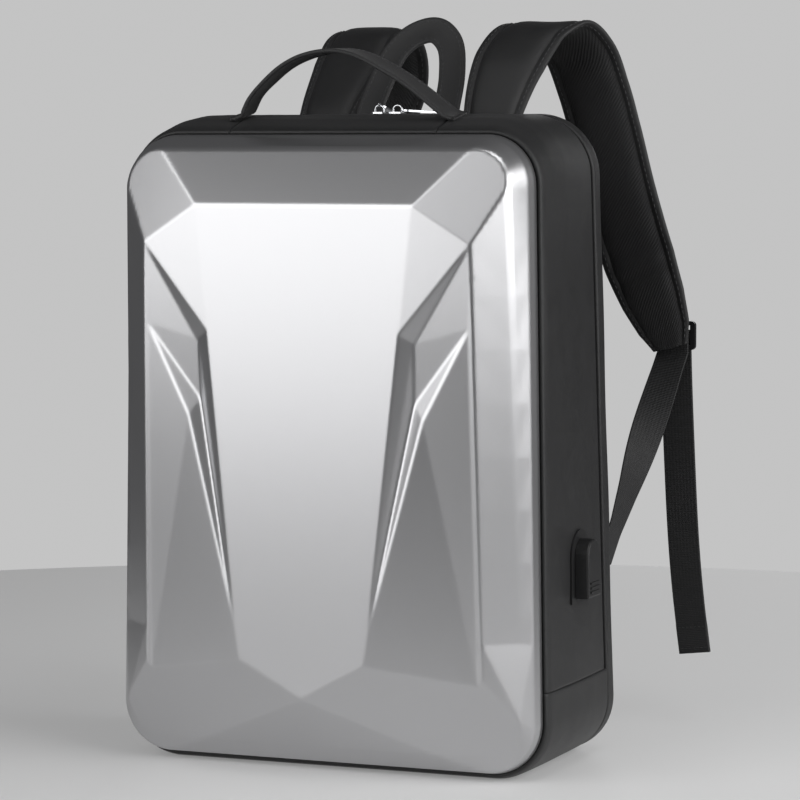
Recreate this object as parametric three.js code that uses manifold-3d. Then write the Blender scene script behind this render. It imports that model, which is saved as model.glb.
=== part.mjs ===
// A hard shell backpack, standing on its base: a faceted moulded shell in front, a fabric body with a
// zip round its rear edge, a padded back and two shoulder straps that arch up and hang behind it.
// Millimetres. z is up, y runs from the shell (front, negative) to the back, x to the right.
// The origin is the centre of the flat bottom face.
import * as THREE from "three";
import { mergeVertices } from "three/addons/utils/BufferGeometryUtils.js";
import Module from "manifold-3d";

const wasm = await Module();
wasm.setup();

// Clearance between pieces that touch in the real bag.
const gap = 0.3;

// The rim is the shell's outline where it meets the fabric. It widens a little towards the bottom.
const rimWidth = 315;
const rimFlare = 12;
const rimHeight = 453;
const rimLift = 3;
const rimRadiusTop = 38;
const rimRadiusBottom = 40;
const cornerSteps = 8;

// The hard shell in front of the rim. It stands a little inside the fabric's outline. Its lip is the
// steep wall at its edge, and its facets begin edgeWidth inside the lip's foot, or edgeDrop at the bottom.
const shellDepth = 54.3;
const shellWall = 2.5;
const shellInset = 2;
const lipDraft = 2;
const lipDepth = 11;
const edgeWidth = 9;
const edgeDrop = 15;

// The fabric body behind the rim.
const bodyDepthTop = 131;
const bodyDepthBottom = 154;
const topRise = 13;
const sideBulge = 2.5;
const fabricWall = 3;
const seamHeight = 64;
const topPanelWidth = 160;

// The zip and the band behind it.
const bandDepth = 21;
const bandRadius = 10;
const bandFace = 14;
const zipWidth = 6;
const tapeOverlap = 4;
const tapeThickness = 1.3;
const coilHeight = 2;
const coilShare = 0.44;

// The padded back.
const backThickness = 4;
const padHeight = 5;
const padColumns = 2;
const padRows = 3;
const padFieldWidth = 264;
const padFieldBottom = 34;
const padFieldTop = 398;
const padChannel = 12;
const padRadius = 18;

// The trim ring behind the groove between shell and fabric.
const trimAhead = 5;
const trimBehind = 9;
const trimWall = 2;
const grooveWidth = 0.9;

// The carrying handle on top.
const handleSpan = 160;
const handleRise = 46.5;
const handleWidth = 25.5;
const handleThickness = 3;
const handleSetback = 30;
const handleFoot = 12;
const handleSteps = 22;

// The grab loop at the top of the back.
const loopSpan = 63;
const loopHeight = 100;
const loopReach = 46;
const loopWidth = 21;
const loopThickness = 3;
const loopRootDrop = 36;
const loopSteps = 28;

// The shoulder straps.
const strapRootOffset = 68;
const strapSpread = 104;
const strapReach = 113;
const strapHeight = 239;
const strapRootDrop = 44;
const strapWidth = 60;
const strapThickness = 11;
const strapSteps = 30;

// How round the long edges of the strips are, as a share of half their thickness.
const bindingRounding = 0.7;
const strapRounding = 0.8;

// The adjusters and their webbing.
const buckleWidth = 34;
const buckleHeight = 22;
const buckleThickness = 4;
const buckleBar = 3.2;
const buckleBehind = 10;
const buckleLift = 9;
const webbingWidth = 25;
const webbingThickness = 1.6;
const webbingTurn = 3.7;
const webbingDip = 13.2;
const tailLength = 246;
const tailDrift = 12;
const tailSwing = 14;
const hemLength = 22;
const tabSpan = 26;
const tabBase = 44;
const tabTip = 20;
const tabThickness = 3;
const tabHeight = 138;
const tabInset = 12;
const webbingDrop = 18;

// The zip sliders and their pulls.
const sliderLength = 12;
const sliderWidth = 8;
const sliderHeight = 1.6;
const sliderTaper = 0.6;
const sliderSpacing = 14.5;
const bridgeRadius = 3.5;
const bridgeWire = 0.7;
const bridgeLeg = 1.5;
const ringRadius = 1.6;
const ringWire = 0.5;
const pullLength = 32;
const pullWidth = 5;
const pullNeck = 0.3;
const pullThickness = 1.4;
const pullDroop = 3.5;
const pullFlop = 12;

// The cable port on the right side.
const portSetback = 67;
const portHeight = 121;
const patchWidth = 40;
const patchHeight = 52;
const patchThickness = 1.2;
const coverWidth = 27;
const coverHeight = 42;
const coverProud = 10;
const coverLift = 3.5;
const coverSoft = 1.5;
const ribCount = 3;
const ribLength = 19;
const ribHeight = 1.6;
const ribDepth = 1.4;
const ribPitch = 3.2;
const ribStart = 4;

// Worked out from the above.
const rimY = -bodyDepthBottom / 2;
const topZ = rimLift + rimHeight + topRise;
const backLean = (bodyDepthBottom - bodyDepthTop) / topZ;
const backY = (z) => rimY + bodyDepthBottom - backLean * z;
const zipFront = (z) => backY(z) - bandDepth - zipWidth;

const silver = { color: 0xb9babd, roughness: 0.38, metalness: 0.75 };
const blackFabric = { color: 0x1b1b1d, roughness: 0.82, metalness: 0 };
const blackMesh = { color: 0x151516, roughness: 0.95, metalness: 0 };
const blackRubber = { color: 0x1d1d1f, roughness: 0.6, metalness: 0 };
const blackPlastic = { color: 0x111112, roughness: 0.4, metalness: 0 };
const chrome = { color: 0xd8dadd, roughness: 0.18, metalness: 1 };

// Surfaces are gathered as points and triangles, and turned the right way out at the end.
class Surface {
  constructor() {
    this.points = [];
    this.triangles = [];
  }

  loop(points) {
    const first = this.points.length;
    this.points.push(...points);
    return points.map((_, i) => first + i);
  }

  // A band of triangles between two closed loops with as many points each.
  band(a, b) {
    a.forEach((_, i) => {
      const next = (i + 1) % a.length;
      this.triangles.push([a[i], b[i], b[next]], [a[i], b[next], a[next]]);
    });
  }

  // A flat polygon seen along y, turned to the front (-1) or to the back (1). Where mirror images of
  // its corners are given, the same triangles are laid there too.
  face(ids, facing, twins = []) {
    const flat = ids.map((id) => new THREE.Vector2(this.points[id][0], this.points[id][2]));
    for (const corners of THREE.ShapeUtils.triangulateShape(flat, [])) {
      const [p, q, r] = corners.map((i) => flat[i]);
      const area = q.clone().sub(p).cross(r.clone().sub(p));
      const order = area * facing > 0 ? corners.reverse() : corners;
      this.triangles.push(order.map((i) => ids[i]));
      if (twins.length > 0) {
        this.triangles.push(order.map((i) => twins[i]).reverse());
      }
    }
  }

  // A cap over a nearly flat loop, wound as the loop is, or the other way round.
  cap(ids, reversed) {
    const corners = ids.map((id) => new THREE.Vector3(...this.points[id]));
    const normal = new THREE.Vector3();
    corners.forEach((p, i) => {
      const next = corners[(i + 1) % corners.length];
      normal.add(new THREE.Vector3().crossVectors(p, next));
    });
    normal.normalize();
    const u = corners[1].clone().sub(corners[0]).projectOnPlane(normal).normalize();
    const v = new THREE.Vector3().crossVectors(normal, u);
    const flat = corners.map((p) => new THREE.Vector2(p.dot(u), p.dot(v)));
    for (const face of THREE.ShapeUtils.triangulateShape(flat, [])) {
      const [p, q, r] = face.map((i) => flat[i]);
      const along = q.clone().sub(p).cross(r.clone().sub(p)) > 0 ? face : face.reverse();
      this.triangles.push((reversed ? along.reverse() : along).map((i) => ids[i]));
    }
  }

  geometry() {
    const at = (id) => new THREE.Vector3(...this.points[id]);
    const volume = this.triangles.reduce((sum, [a, b, c]) => sum + at(a).dot(at(b).cross(at(c))), 0);
    const turned = volume < 0 ? this.triangles.map(([a, b, c]) => [a, c, b]) : this.triangles;
    const geometry = new THREE.BufferGeometry();
    geometry.setAttribute("position", new THREE.Float32BufferAttribute(this.points.flat(), 3));
    geometry.setIndex(turned.flat());
    return geometry;
  }
}

// A body through a row of loops: closed on itself, or capped at both ends.
function loft(loops, closed) {
  const surface = new Surface();
  const ids = loops.map((points) => surface.loop(points));
  ids.slice(1).forEach((loop, i) => surface.band(ids[i], loop));
  if (closed) {
    surface.band(ids[ids.length - 1], ids[0]);
  } else {
    surface.cap(ids[0], false);
    surface.cap(ids[ids.length - 1], true);
  }
  return surface.geometry();
}

function toSolid(geometry) {
  const bare = geometry.index ? geometry.toNonIndexed() : geometry.clone();
  for (const name of Object.keys(bare.attributes)) {
    if (name !== "position") {
      bare.deleteAttribute(name);
    }
  }
  const merged = mergeVertices(bare, 1e-4);
  return new wasm.Manifold(new wasm.Mesh({
    numProp: 3,
    vertProperties: merged.attributes.position.array,
    triVerts: new Uint32Array(merged.index.array),
  }));
}

function toGeometry(solid) {
  const mesh = solid.getMesh();
  const geometry = new THREE.BufferGeometry();
  geometry.setAttribute("position", new THREE.BufferAttribute(new Float32Array(mesh.vertProperties), 3));
  geometry.setIndex(new THREE.BufferAttribute(new Uint32Array(mesh.triVerts), 1));
  return geometry;
}

const joined = (pieces) => toGeometry(pieces.map(toSolid).reduce((sum, piece) => sum.add(piece)));

// The part of a body that lies inside a box given by its lowest and highest corners.
function within(geometry, low, high) {
  const box = new THREE.BoxGeometry(high[0] - low[0], high[1] - low[1], high[2] - low[2]);
  box.translate((low[0] + high[0]) / 2, (low[1] + high[1]) / 2, (low[2] + high[2]) / 2);
  return toGeometry(toSolid(geometry).intersect(toSolid(box)));
}

function mirrored(geometry) {
  const copy = geometry.toNonIndexed().scale(-1, 1, 1);
  const at = copy.getAttribute("position");
  for (let i = 0; i < at.count; i += 3) {
    const [x, y, z] = [at.getX(i), at.getY(i), at.getZ(i)];
    at.setXYZ(i, at.getX(i + 1), at.getY(i + 1), at.getZ(i + 1));
    at.setXYZ(i + 1, x, y, z);
  }
  return copy;
}

const bag = new THREE.Group();

function addMesh(name, geometry, look, parent = bag) {
  const mesh = new THREE.Mesh(geometry, new THREE.MeshStandardMaterial(look));
  mesh.name = name;
  parent.add(mesh);
  return mesh;
}

// Further points on the straight runs that follow each corner, as shares of their length.
const edgeStops = [[0.1, 0.85], [0.14, 0.86], [0.15, 0.9], []];

// The rim's outline moved outwards at the sides, the top and the bottom, as [x, z] points.
// It starts at the right end of the top edge and runs clockwise seen from the front.
function outline(side, rise, drop) {
  const radiusTop = rimRadiusTop + (side + rise) / 2;
  const radiusBottom = rimRadiusBottom + (side + drop) / 2;
  const topX = rimWidth / 2 + side - radiusTop;
  const topCentre = rimLift + rimHeight + rise - radiusTop;
  const bottomX = (rimWidth + rimFlare) / 2 + side - radiusBottom;
  const bottomCentre = rimLift - drop + radiusBottom;
  const corners = [
    { x: topX, z: topCentre, radius: radiusTop, from: 90 },
    { x: bottomX, z: bottomCentre, radius: radiusBottom, from: 0 },
    { x: -bottomX, z: bottomCentre, radius: radiusBottom, from: -90 },
    { x: -topX, z: topCentre, radius: radiusTop, from: -180 },
  ];
  const arcs = corners.map(({ x, z, radius, from }) =>
    Array.from({ length: cornerSteps + 1 }, (_, step) => {
      const angle = THREE.MathUtils.degToRad(from - (90 * step) / cornerSteps);
      return [x + radius * Math.cos(angle), z + radius * Math.sin(angle)];
    }));
  return arcs.flatMap((arc, i) => {
    const [from, to] = [arc[cornerSteps], arcs[(i + 1) % arcs.length][0]];
    const stops = edgeStops[i].map((share) =>
      [THREE.MathUtils.lerp(from[0], to[0], share), THREE.MathUtils.lerp(from[1], to[1], share)]);
    return [...arc, ...stops];
  });
}

const inset = (amount) => outline(-amount, -amount, -amount);
const placed = (flat, yOf) => flat.map(([x, z], i) => [x, yOf(z, i), z]);

// The body's skin behind the rim. Columns: share of the way back, then the shares of the side bulge,
// of the top's rise and of the bottom's drop that are reached there.
const skinRows = [
  { back: 0.008, bulge: 0, rise: 0, drop: 0 },
  { back: 0.022, bulge: 0.4, rise: 0.13, drop: 0.55 },
  { back: 0.06, bulge: 0.68, rise: 0.27, drop: 1 },
  { back: 0.25, bulge: 0.9, rise: 0.72, drop: 1 },
  { back: 0.46, bulge: 1, rise: 0.94, drop: 1 },
  { back: 0.75, bulge: 0.8, rise: 1, drop: 1 },
  { back: 1, bulge: 0.4, rise: 1, drop: 1 },
];
const rearRow = skinRows[skinRows.length - 1];

const skinLoop = (row, wall) => outline(
  sideBulge * row.bulge - wall,
  topRise * row.rise - wall,
  rimLift * row.drop - wall,
);

// A fabric ring from the groove to rearY(z), with a wall of even thickness.
function skinRing(rearY) {
  const yOf = (row) => (z) => rimY + Math.max(grooveWidth, row.back * (rearY(z) - rimY));
  const outer = skinRows.map((row) => placed(skinLoop(row, 0), yOf(row))).reverse();
  const wallOf = (i) => (i === 0 ? shellWall : fabricWall);
  const inner = skinRows.map((row, i) => placed(skinLoop(row, wallOf(i)), yOf(row)));
  return loft([...outer, ...inner], true);
}

// How far a column of the skin table has come at depth y.
function skinShare(y, column) {
  const share = (y - rimY) / (zipFront(topZ) - rimY);
  const next = Math.max(1, skinRows.findIndex((row) => row.back >= share));
  const [a, b] = [skinRows[next - 1], skinRows[next]];
  return THREE.MathUtils.mapLinear(share, a.back, b.back, a[column], b[column]);
}

const skinTopAt = (y) => rimLift + rimHeight + topRise * skinShare(y, "rise");
const sideLow = rimLift + rimRadiusBottom;
const sideHigh = rimLift + rimHeight - rimRadiusTop;
const sideLean = rimFlare / 2 / (sideHigh - sideLow);
const halfWidthAt = (z) => (rimWidth + rimFlare) / 2 - sideLean * (z - sideLow);

// The corners of the shell's facets on the right half. Columns: share of half the rim's width, share
// of its height and share of the shell's depth.
const shellCorners = {
  panelTop: { out: 0.524, up: 0.887, ahead: 0.932 },
  ridgeTop: { out: 0.791, up: 0.828, ahead: 0.872 },
  slotKnee: { out: 0.465, up: 0.69, ahead: 0.949 },
  slotFoot: { out: 0.524, up: 0.676, ahead: 0.846 },
  slotTurn: { out: 0.519, up: 0.583, ahead: 0.792 },
  bladeTop: { out: 0.781, up: 0.701, ahead: 0.825 },
  bladeTurn: { out: 0.568, up: 0.558, ahead: 0.877 },
  slotTip: { out: 0.324, up: 0.229, ahead: 0.99 },
  panelFoot: { out: 0.301, up: 0.177, ahead: 0.995 },
  ridgeFoot: { out: 0.822, up: 0.162, ahead: 0.663 },
  stepFoot: { out: 0.803, up: 0.15, ahead: 0.64 },
  chin: { out: 0, up: 0.121, ahead: 1 },
};
const topEdgeAhead = 0.556;
const innerDraw = 0.6;

// The shell's edge, from the lip's foot to the boundary of its facets. Columns: shares of the lip's
// draft and of its depth, and share of the way from the lip's front edge to the boundary.
const edgeRows = [
  { draft: 0, lip: 0, brow: 0 },
  { draft: 0.88, lip: 0.88, brow: 0 },
  { draft: 1, lip: 1, brow: 0.08 },
  { draft: 1, lip: 1, brow: 1 },
];

// The facets by the names of their corners. A number is a point of the boundary, counted from the
// right end of its top edge, and L marks a corner on the left half.
const lastPoint = 4 * (cornerSteps + 1) + edgeStops.flat().length - 1;
const upTo = (from, to) => Array.from({ length: to - from + 1 }, (_, i) => from + i);
const sideStart = cornerSteps;
const upperStop = sideStart + 1;
const lowerStop = upperStop + 1;
const sideEnd = lowerStop + 1;
const bottomStop = sideEnd + cornerSteps + 1;
const halfFacets = [
  ["panelTop", "ridgeTop", ...upTo(0, sideStart).reverse()],
  ["ridgeTop", upperStop, sideStart],
  ["ridgeTop", "ridgeFoot", lowerStop, upperStop],
  ["ridgeFoot", sideEnd, lowerStop],
  ["panelFoot", "stepFoot", "ridgeFoot", ...upTo(sideEnd, bottomStop), "chin"],
  ["panelTop", "ridgeTop", "slotKnee"],
  ["ridgeTop", "slotFoot", "slotKnee"],
  ["slotKnee", "slotFoot", "slotTurn", "slotTip"],
  ["ridgeTop", "bladeTop", "slotTurn", "slotFoot"],
  ["bladeTop", "bladeTurn", "slotTip", "slotTurn"],
  ["bladeTop", "stepFoot", "panelFoot", "slotTip", "bladeTurn"],
  ["ridgeTop", "ridgeFoot", "stepFoot", "bladeTop"],
];
const wholeFacets = [
  ["panelTopL", "panelTop", 0, lastPoint],
  ["chin", bottomStop, bottomStop + 1],
  ["panelTopL", "panelTop", "slotKnee", "slotTip", "panelFoot", "chin",
    "panelFootL", "slotTipL", "slotKneeL"],
];

// The reach of the plane through three [x, reach, z] corners, as a function of x and z.
function planeThrough(a, b, c) {
  const plane = new THREE.Plane().setFromCoplanarPoints(...[a, b, c].map((p) => new THREE.Vector3(...p)));
  return (x, z) => -(plane.normal.x * x + plane.normal.z * z + plane.constant) / plane.normal.y;
}

function makeShell() {
  const corner = Object.fromEntries(Object.entries(shellCorners).map(([name, { out, up, ahead }]) =>
    [name, [(out * rimWidth) / 2, ahead * shellDepth, rimLift + up * rimHeight]]));
  const boundary = outline(-shellInset - edgeWidth, -shellInset - edgeWidth, -shellInset - edgeDrop);
  const topAhead = topEdgeAhead * shellDepth;
  const topEnd = [boundary[0][0], topAhead, boundary[0][1]];
  const topCorner = planeThrough(corner.panelTop, corner.ridgeTop, topEnd);
  const bottomCorner = planeThrough(corner.panelFoot, corner.chin, corner.ridgeFoot);
  // The bevel beside the ridge runs straight on to the lip at its foot, and fills out above it.
  const bevel = (x, z) => {
    const onRidge = THREE.MathUtils.inverseLerp(corner.ridgeFoot[2], corner.ridgeTop[2], z);
    const ridge = corner.ridgeFoot.map((foot, i) => THREE.MathUtils.lerp(foot, corner.ridgeTop[i], onRidge));
    const lipX = halfWidthAt(z) - shellInset - lipDraft;
    return THREE.MathUtils.mapLinear(x, ridge[0], lipX, ridge[1], lipDepth);
  };
  const [sideTop, sideFoot] = [boundary[sideStart], boundary[lowerStop]];
  const [reachTop, reachFoot] = [topCorner(...sideTop), bevel(...sideFoot)];
  const bevelEdge = (x, z) => THREE.MathUtils.mapLinear(z, sideFoot[1], sideTop[1], reachFoot, reachTop);
  const reach = boundary.map(([x, z], i) => {
    const place = Math.min(i, lastPoint - i);
    const onSide = place <= lowerStop ? bevelEdge : bottomCorner;
    return (place <= sideStart ? topCorner : onSide)(Math.abs(x), z);
  });
  const surface = new Surface();
  const edgeLoop = (row, wall) => {
    const inward = shellInset + row.draft * lipDraft + wall * (1 - innerDraw * row.brow);
    const around = inward + row.brow * (edgeWidth - lipDraft);
    const below = inward + row.brow * (edgeDrop - lipDraft);
    return surface.loop(placed(outline(-around, -around, -below), (_, i) =>
      rimY - row.lip * (lipDepth - wall) - row.brow * (reach[i] - lipDepth)));
  };
  const side = (wall, facing) => {
    const ids = {};
    for (const [name, [x, ahead, z]] of Object.entries(corner)) {
      [ids[name]] = surface.loop([[x, rimY - ahead + wall, z]]);
      ids[`${name}L`] = x === 0 ? ids[name] : surface.loop([[-x, rimY - ahead + wall, z]])[0];
    }
    const loops = edgeRows.map((row) => edgeLoop(row, wall));
    const inner = loops[loops.length - 1];
    const right = (token) => (typeof token === "number" ? inner[token] : ids[token]);
    const left = (token) => (typeof token === "number" ? inner[lastPoint - token] : ids[`${token}L`]);
    halfFacets.forEach((tokens) => surface.face(tokens.map(right), facing, tokens.map(left)));
    wholeFacets.forEach((tokens) => surface.face(tokens.map(right), facing));
    return loops;
  };
  const outer = side(0, -1);
  const inner = side(shellWall, 1).reverse();
  const chain = (loops) => loops.slice(1).forEach((loop, i) => surface.band(loops[i], loop));
  chain(outer);
  chain(inner);
  surface.band(inner[inner.length - 1], outer[0]);
  return surface.geometry();
}

// A slim ring behind the groove. It lies inside the shell's lip, whose draft its front edge follows,
// and steps out to lie inside the fabric's edge.
function makeTrim() {
  const inShell = shellInset + shellWall + gap;
  const inFabric = fabricWall + gap;
  const draft = (lipDraft * trimAhead) / (lipDepth - shellWall);
  const rows = [
    { deep: inShell, back: gap },
    { deep: inShell + draft, back: -trimAhead },
    { deep: inShell + draft + trimWall, back: -trimAhead },
    { deep: inFabric + trimWall, back: trimBehind },
    { deep: inFabric, back: trimBehind },
    { deep: inFabric, back: gap },
  ];
  return loft(rows.map((row) => placed(inset(row.deep), () => rimY + row.back)), true);
}

// The zip: a tape under both edges of the fabric and a raised coil between them.
function makeZip() {
  const under = fabricWall + gap;
  const rows = [
    { deep: under + tapeThickness, back: -tapeOverlap },
    { deep: under, back: -tapeOverlap },
    { deep: under, back: gap * 2 },
    { deep: under - coilHeight, back: (zipWidth * (1 - coilShare)) / 2 },
    { deep: under - coilHeight, back: (zipWidth * (1 + coilShare)) / 2 },
    { deep: under, back: zipWidth - gap * 2 },
    { deep: under, back: zipWidth + tapeOverlap },
    { deep: under + tapeThickness, back: zipWidth + tapeOverlap },
  ].reverse();
  return loft(rows.map((row) => placed(skinLoop(rearRow, row.deep), (z) => zipFront(z) + row.back)), true);
}

// The rear band: round the rear edge, and a little way in over the back.
function makeBand() {
  const arc = (radius, offset) => [0, 22.5, 45, 67.5, 90].map((degrees) => {
    const angle = THREE.MathUtils.degToRad(degrees);
    return { deep: offset + radius * (1 - Math.cos(angle)), ahead: offset + radius * (1 - Math.sin(angle)) };
  });
  const outer = [{ deep: 0, ahead: bandDepth }, ...arc(bandRadius, 0), { deep: bandFace, ahead: 0 }];
  const inner = [
    { deep: fabricWall, ahead: bandDepth },
    ...arc(bandRadius - fabricWall, fabricWall),
    { deep: bandFace, ahead: fabricWall },
  ];
  const rows = [...outer.reverse(), ...inner];
  return loft(rows.map((row) => placed(skinLoop(rearRow, row.deep), (z) => backY(z) - row.ahead)), true);
}

// One cushion of the back, whose rim sinks into the plate that carries it.
function makePad(x, z, width, height) {
  const rows = [
    { inward: 0, proud: -0.2 },
    { inward: 0, proud: 0.35 },
    { inward: 0.2, proud: 0.8 },
    { inward: 0.5, proud: 1 },
  ].reverse();
  const steps = 4;
  return loft(rows.map(({ inward, proud }) => {
    const shrink = inward * padRadius;
    const radius = padRadius - shrink;
    const points = [[1, 1], [1, -1], [-1, -1], [-1, 1]].flatMap(([sx, sz], corner) =>
      Array.from({ length: steps + 1 }, (_, i) => {
        const angle = THREE.MathUtils.degToRad(90 - 90 * corner - (90 * i) / steps);
        return [
          x + sx * (width / 2 - shrink - radius) + radius * Math.cos(angle),
          z + sz * (height / 2 - shrink - radius) + radius * Math.sin(angle),
        ];
      }));
    return placed(points, (level) => backY(level) + proud * padHeight);
  }).reverse(), false);
}

function makeBack() {
  const edge = skinLoop(rearRow, bandFace + gap);
  const plate = loft([placed(edge, (z) => backY(z)), placed(edge, (z) => backY(z) - backThickness)], false);
  const width = (padFieldWidth - padChannel * (padColumns - 1)) / padColumns;
  const height = (padFieldTop - padFieldBottom - padChannel * (padRows - 1)) / padRows;
  const pads = [];
  for (let column = 0; column < padColumns; column += 1) {
    for (let row = 0; row < padRows; row += 1) {
      const x = (column - (padColumns - 1) / 2) * (width + padChannel);
      const z = padFieldBottom + height / 2 + row * (height + padChannel);
      pads.push(makePad(x, z, width, height));
    }
  }
  return joined([plate, ...pads]);
}

// A flat plate of a shape's outline, from z = 0 up.
function plateOf(shape, thickness, curveSteps) {
  const points = shape.getPoints(curveSteps).filter((point, i, all) =>
    point.distanceTo(all[(i + 1) % all.length]) > 1e-3);
  return loft([0, thickness].map((z) => points.map(({ x, y }) => [x, y, z])), false);
}

// The outline of a strip's section, with rounded or square long edges.
function stripSection(width, thickness, rounding) {
  if (rounding === 0) {
    return [[1, 1], [1, -1], [-1, -1], [-1, 1]].map(([u, v]) => [(u * width) / 2, (v * thickness) / 2]);
  }
  const radius = (rounding * thickness) / 2;
  return [[1, 1], [1, -1], [-1, -1], [-1, 1]].flatMap(([u, v], corner) => [0, 45, 90].map((degrees) => {
    const angle = THREE.MathUtils.degToRad(90 - 90 * corner - degrees);
    return [
      u * (width / 2 - radius) + radius * Math.cos(angle),
      v * (thickness / 2 - radius) + radius * Math.sin(angle),
    ];
  }));
}

// A strip swept through stations: { at, across, width, thickness }, where across is a rough direction
// of its width that is squared up against the run of the strip.
function strip(stations, rounding) {
  const loops = stations.map((station, i) => {
    const before = stations[Math.max(0, i - 1)].at;
    const after = stations[Math.min(stations.length - 1, i + 1)].at;
    const run = after.clone().sub(before).normalize();
    const across = station.across.clone().projectOnPlane(run).normalize();
    const out = new THREE.Vector3().crossVectors(across, run);
    return stripSection(station.width, station.thickness, rounding).map(([u, v]) =>
      station.at.clone().addScaledVector(across, u).addScaledVector(out, v).toArray());
  });
  return loft(loops, false);
}

// Even steps along a smooth curve through the rows, with every other column blended in between.
function stationsAlong(rows, steps) {
  const curve = new THREE.CatmullRomCurve3(rows.map((row) => row.at), false, "centripetal");
  return Array.from({ length: steps + 1 }, (_, i) => {
    const share = i / steps;
    const place = share * (rows.length - 1);
    const low = Math.min(Math.floor(place), rows.length - 2);
    const [a, b] = [rows[low], rows[low + 1]];
    const blend = place - low;
    return {
      at: curve.getPoint(share),
      across: a.across.clone().lerp(b.across, blend),
      width: THREE.MathUtils.lerp(a.width, b.width, blend),
      thickness: THREE.MathUtils.lerp(a.thickness, b.thickness, blend),
    };
  });
}

// The top handle. Columns: share of half its span, share of its rise, and the tilt of its width in
// degrees, which follows the slope of the fabric at its feet.
const handleRows = [
  { along: -0.985, up: 0.03, tilt: 10 },
  { along: -0.9, up: 0.3, tilt: 8 },
  { along: -0.76, up: 0.54, tilt: 4 },
  { along: -0.6, up: 0.755, tilt: 2 },
  { along: -0.43, up: 0.895, tilt: 0 },
  { along: -0.26, up: 0.97, tilt: 0 },
  { along: -0.09, up: 1, tilt: 2 },
  { along: 0.08, up: 0.96, tilt: 4 },
  { along: 0.22, up: 0.875, tilt: 6 },
  { along: 0.36, up: 0.755, tilt: 8 },
  { along: 0.52, up: 0.605, tilt: 8 },
  { along: 0.7, up: 0.4, tilt: 8 },
  { along: 0.84, up: 0.22, tilt: 9 },
  { along: 0.985, up: 0.03, tilt: 10 },
];

function makeHandle() {
  const y = rimY + handleSetback;
  const slope = (skinTopAt(y + handleWidth / 2) - skinTopAt(y - handleWidth / 2)) / handleWidth;
  const lift = gap + handleThickness / 2;
  const chord = (skinTopAt(y + handleWidth / 2) + skinTopAt(y - handleWidth / 2)) / 2;
  const seat = Math.max(skinTopAt(y), chord) + lift;
  const fullTilt = handleRows[0].tilt;
  const row = (x, z, tilt) => ({
    at: new THREE.Vector3(x, y, z),
    across: new THREE.Vector3(0, 1, (slope * tilt) / fullTilt),
    width: handleWidth,
    thickness: handleThickness,
  });
  const half = handleSpan / 2;
  const foot = (side) => row(side * (half + handleFoot), seat, fullTilt);
  const arch = handleRows.map(({ along, up, tilt }) => row(along * half, seat + up * handleRise, tilt));
  return strip([foot(-1), ...stationsAlong(arch, handleSteps), foot(1)], bindingRounding);
}

// The grab loop, a flat strip folded into an arch that leans back. Columns: share of half its span,
// share of its height above its roots, and share of its reach behind the back.
const loopRows = [
  { out: -1, up: 0, back: 0 },
  { out: -1, up: 0.2, back: 0.02 },
  { out: -0.98, up: 0.36, back: 0.16 },
  { out: -0.88, up: 0.62, back: 0.55 },
  { out: -0.66, up: 0.85, back: 0.85 },
  { out: -0.25, up: 0.97, back: 0.98 },
  { out: 0.25, up: 1, back: 1 },
  { out: 0.66, up: 0.9, back: 0.9 },
  { out: 0.9, up: 0.66, back: 0.6 },
  { out: 0.99, up: 0.38, back: 0.18 },
  { out: 1, up: 0.2, back: 0.02 },
  { out: 1, up: 0, back: 0 },
];

function makeLoop() {
  const rootZ = topZ - loopRootDrop;
  const seat = backY(rootZ) + gap + loopThickness / 2;
  const centres = loopRows.map(({ out, up, back }) =>
    new THREE.Vector3((out * loopSpan) / 2, seat + back * loopReach, rootZ + up * loopHeight));
  const curve = new THREE.CatmullRomCurve3(centres, false, "centripetal");
  const stations = Array.from({ length: loopSteps + 1 }, (_, i) => {
    const at = curve.getPoint(i / loopSteps);
    const run = curve.getTangent(i / loopSteps);
    const lean = Math.atan2(Math.max(0, at.y - seat), at.z - rootZ + 1);
    const facing = new THREE.Vector3(0, Math.cos(lean), -Math.sin(lean));
    return {
      at,
      across: new THREE.Vector3().crossVectors(facing, run),
      width: loopWidth,
      thickness: loopThickness,
    };
  });
  return strip(stations, bindingRounding);
}

// The right shoulder strap, from its root on the back over the arch and down to its tip. Columns:
// share of the spread, of the reach behind the back and of the height, each from the root, then the
// shares of the strap's width and thickness.
const strapRows = [
  { out: 0, back: 0, up: 0, width: 0.73, thickness: 0.7 },
  { out: 0, back: 0.005, up: 0.09, width: 0.73, thickness: 0.8 },
  { out: 0, back: 0.065, up: 0.19, width: 0.78, thickness: 1 },
  { out: 0.07, back: 0.2, up: 0.347, width: 0.98, thickness: 1 },
  { out: 0.175, back: 0.37, up: 0.438, width: 1, thickness: 1 },
  { out: 0.3, back: 0.56, up: 0.448, width: 1, thickness: 1 },
  { out: 0.405, back: 0.7, up: 0.381, width: 0.98, thickness: 1 },
  { out: 0.48, back: 0.785, up: 0.268, width: 0.96, thickness: 1 },
  { out: 0.55, back: 0.83, up: 0.143, width: 0.95, thickness: 1 },
  { out: 0.655, back: 0.875, up: -0.067, width: 0.97, thickness: 1 },
  { out: 0.788, back: 0.92, up: -0.276, width: 0.97, thickness: 1 },
  { out: 0.885, back: 0.95, up: -0.397, width: 0.87, thickness: 1 },
  { out: 0.96, back: 0.98, up: -0.49, width: 0.7, thickness: 0.9 },
  { out: 1, back: 1, up: -0.552, width: 0.46, thickness: 0.6 },
];
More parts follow.
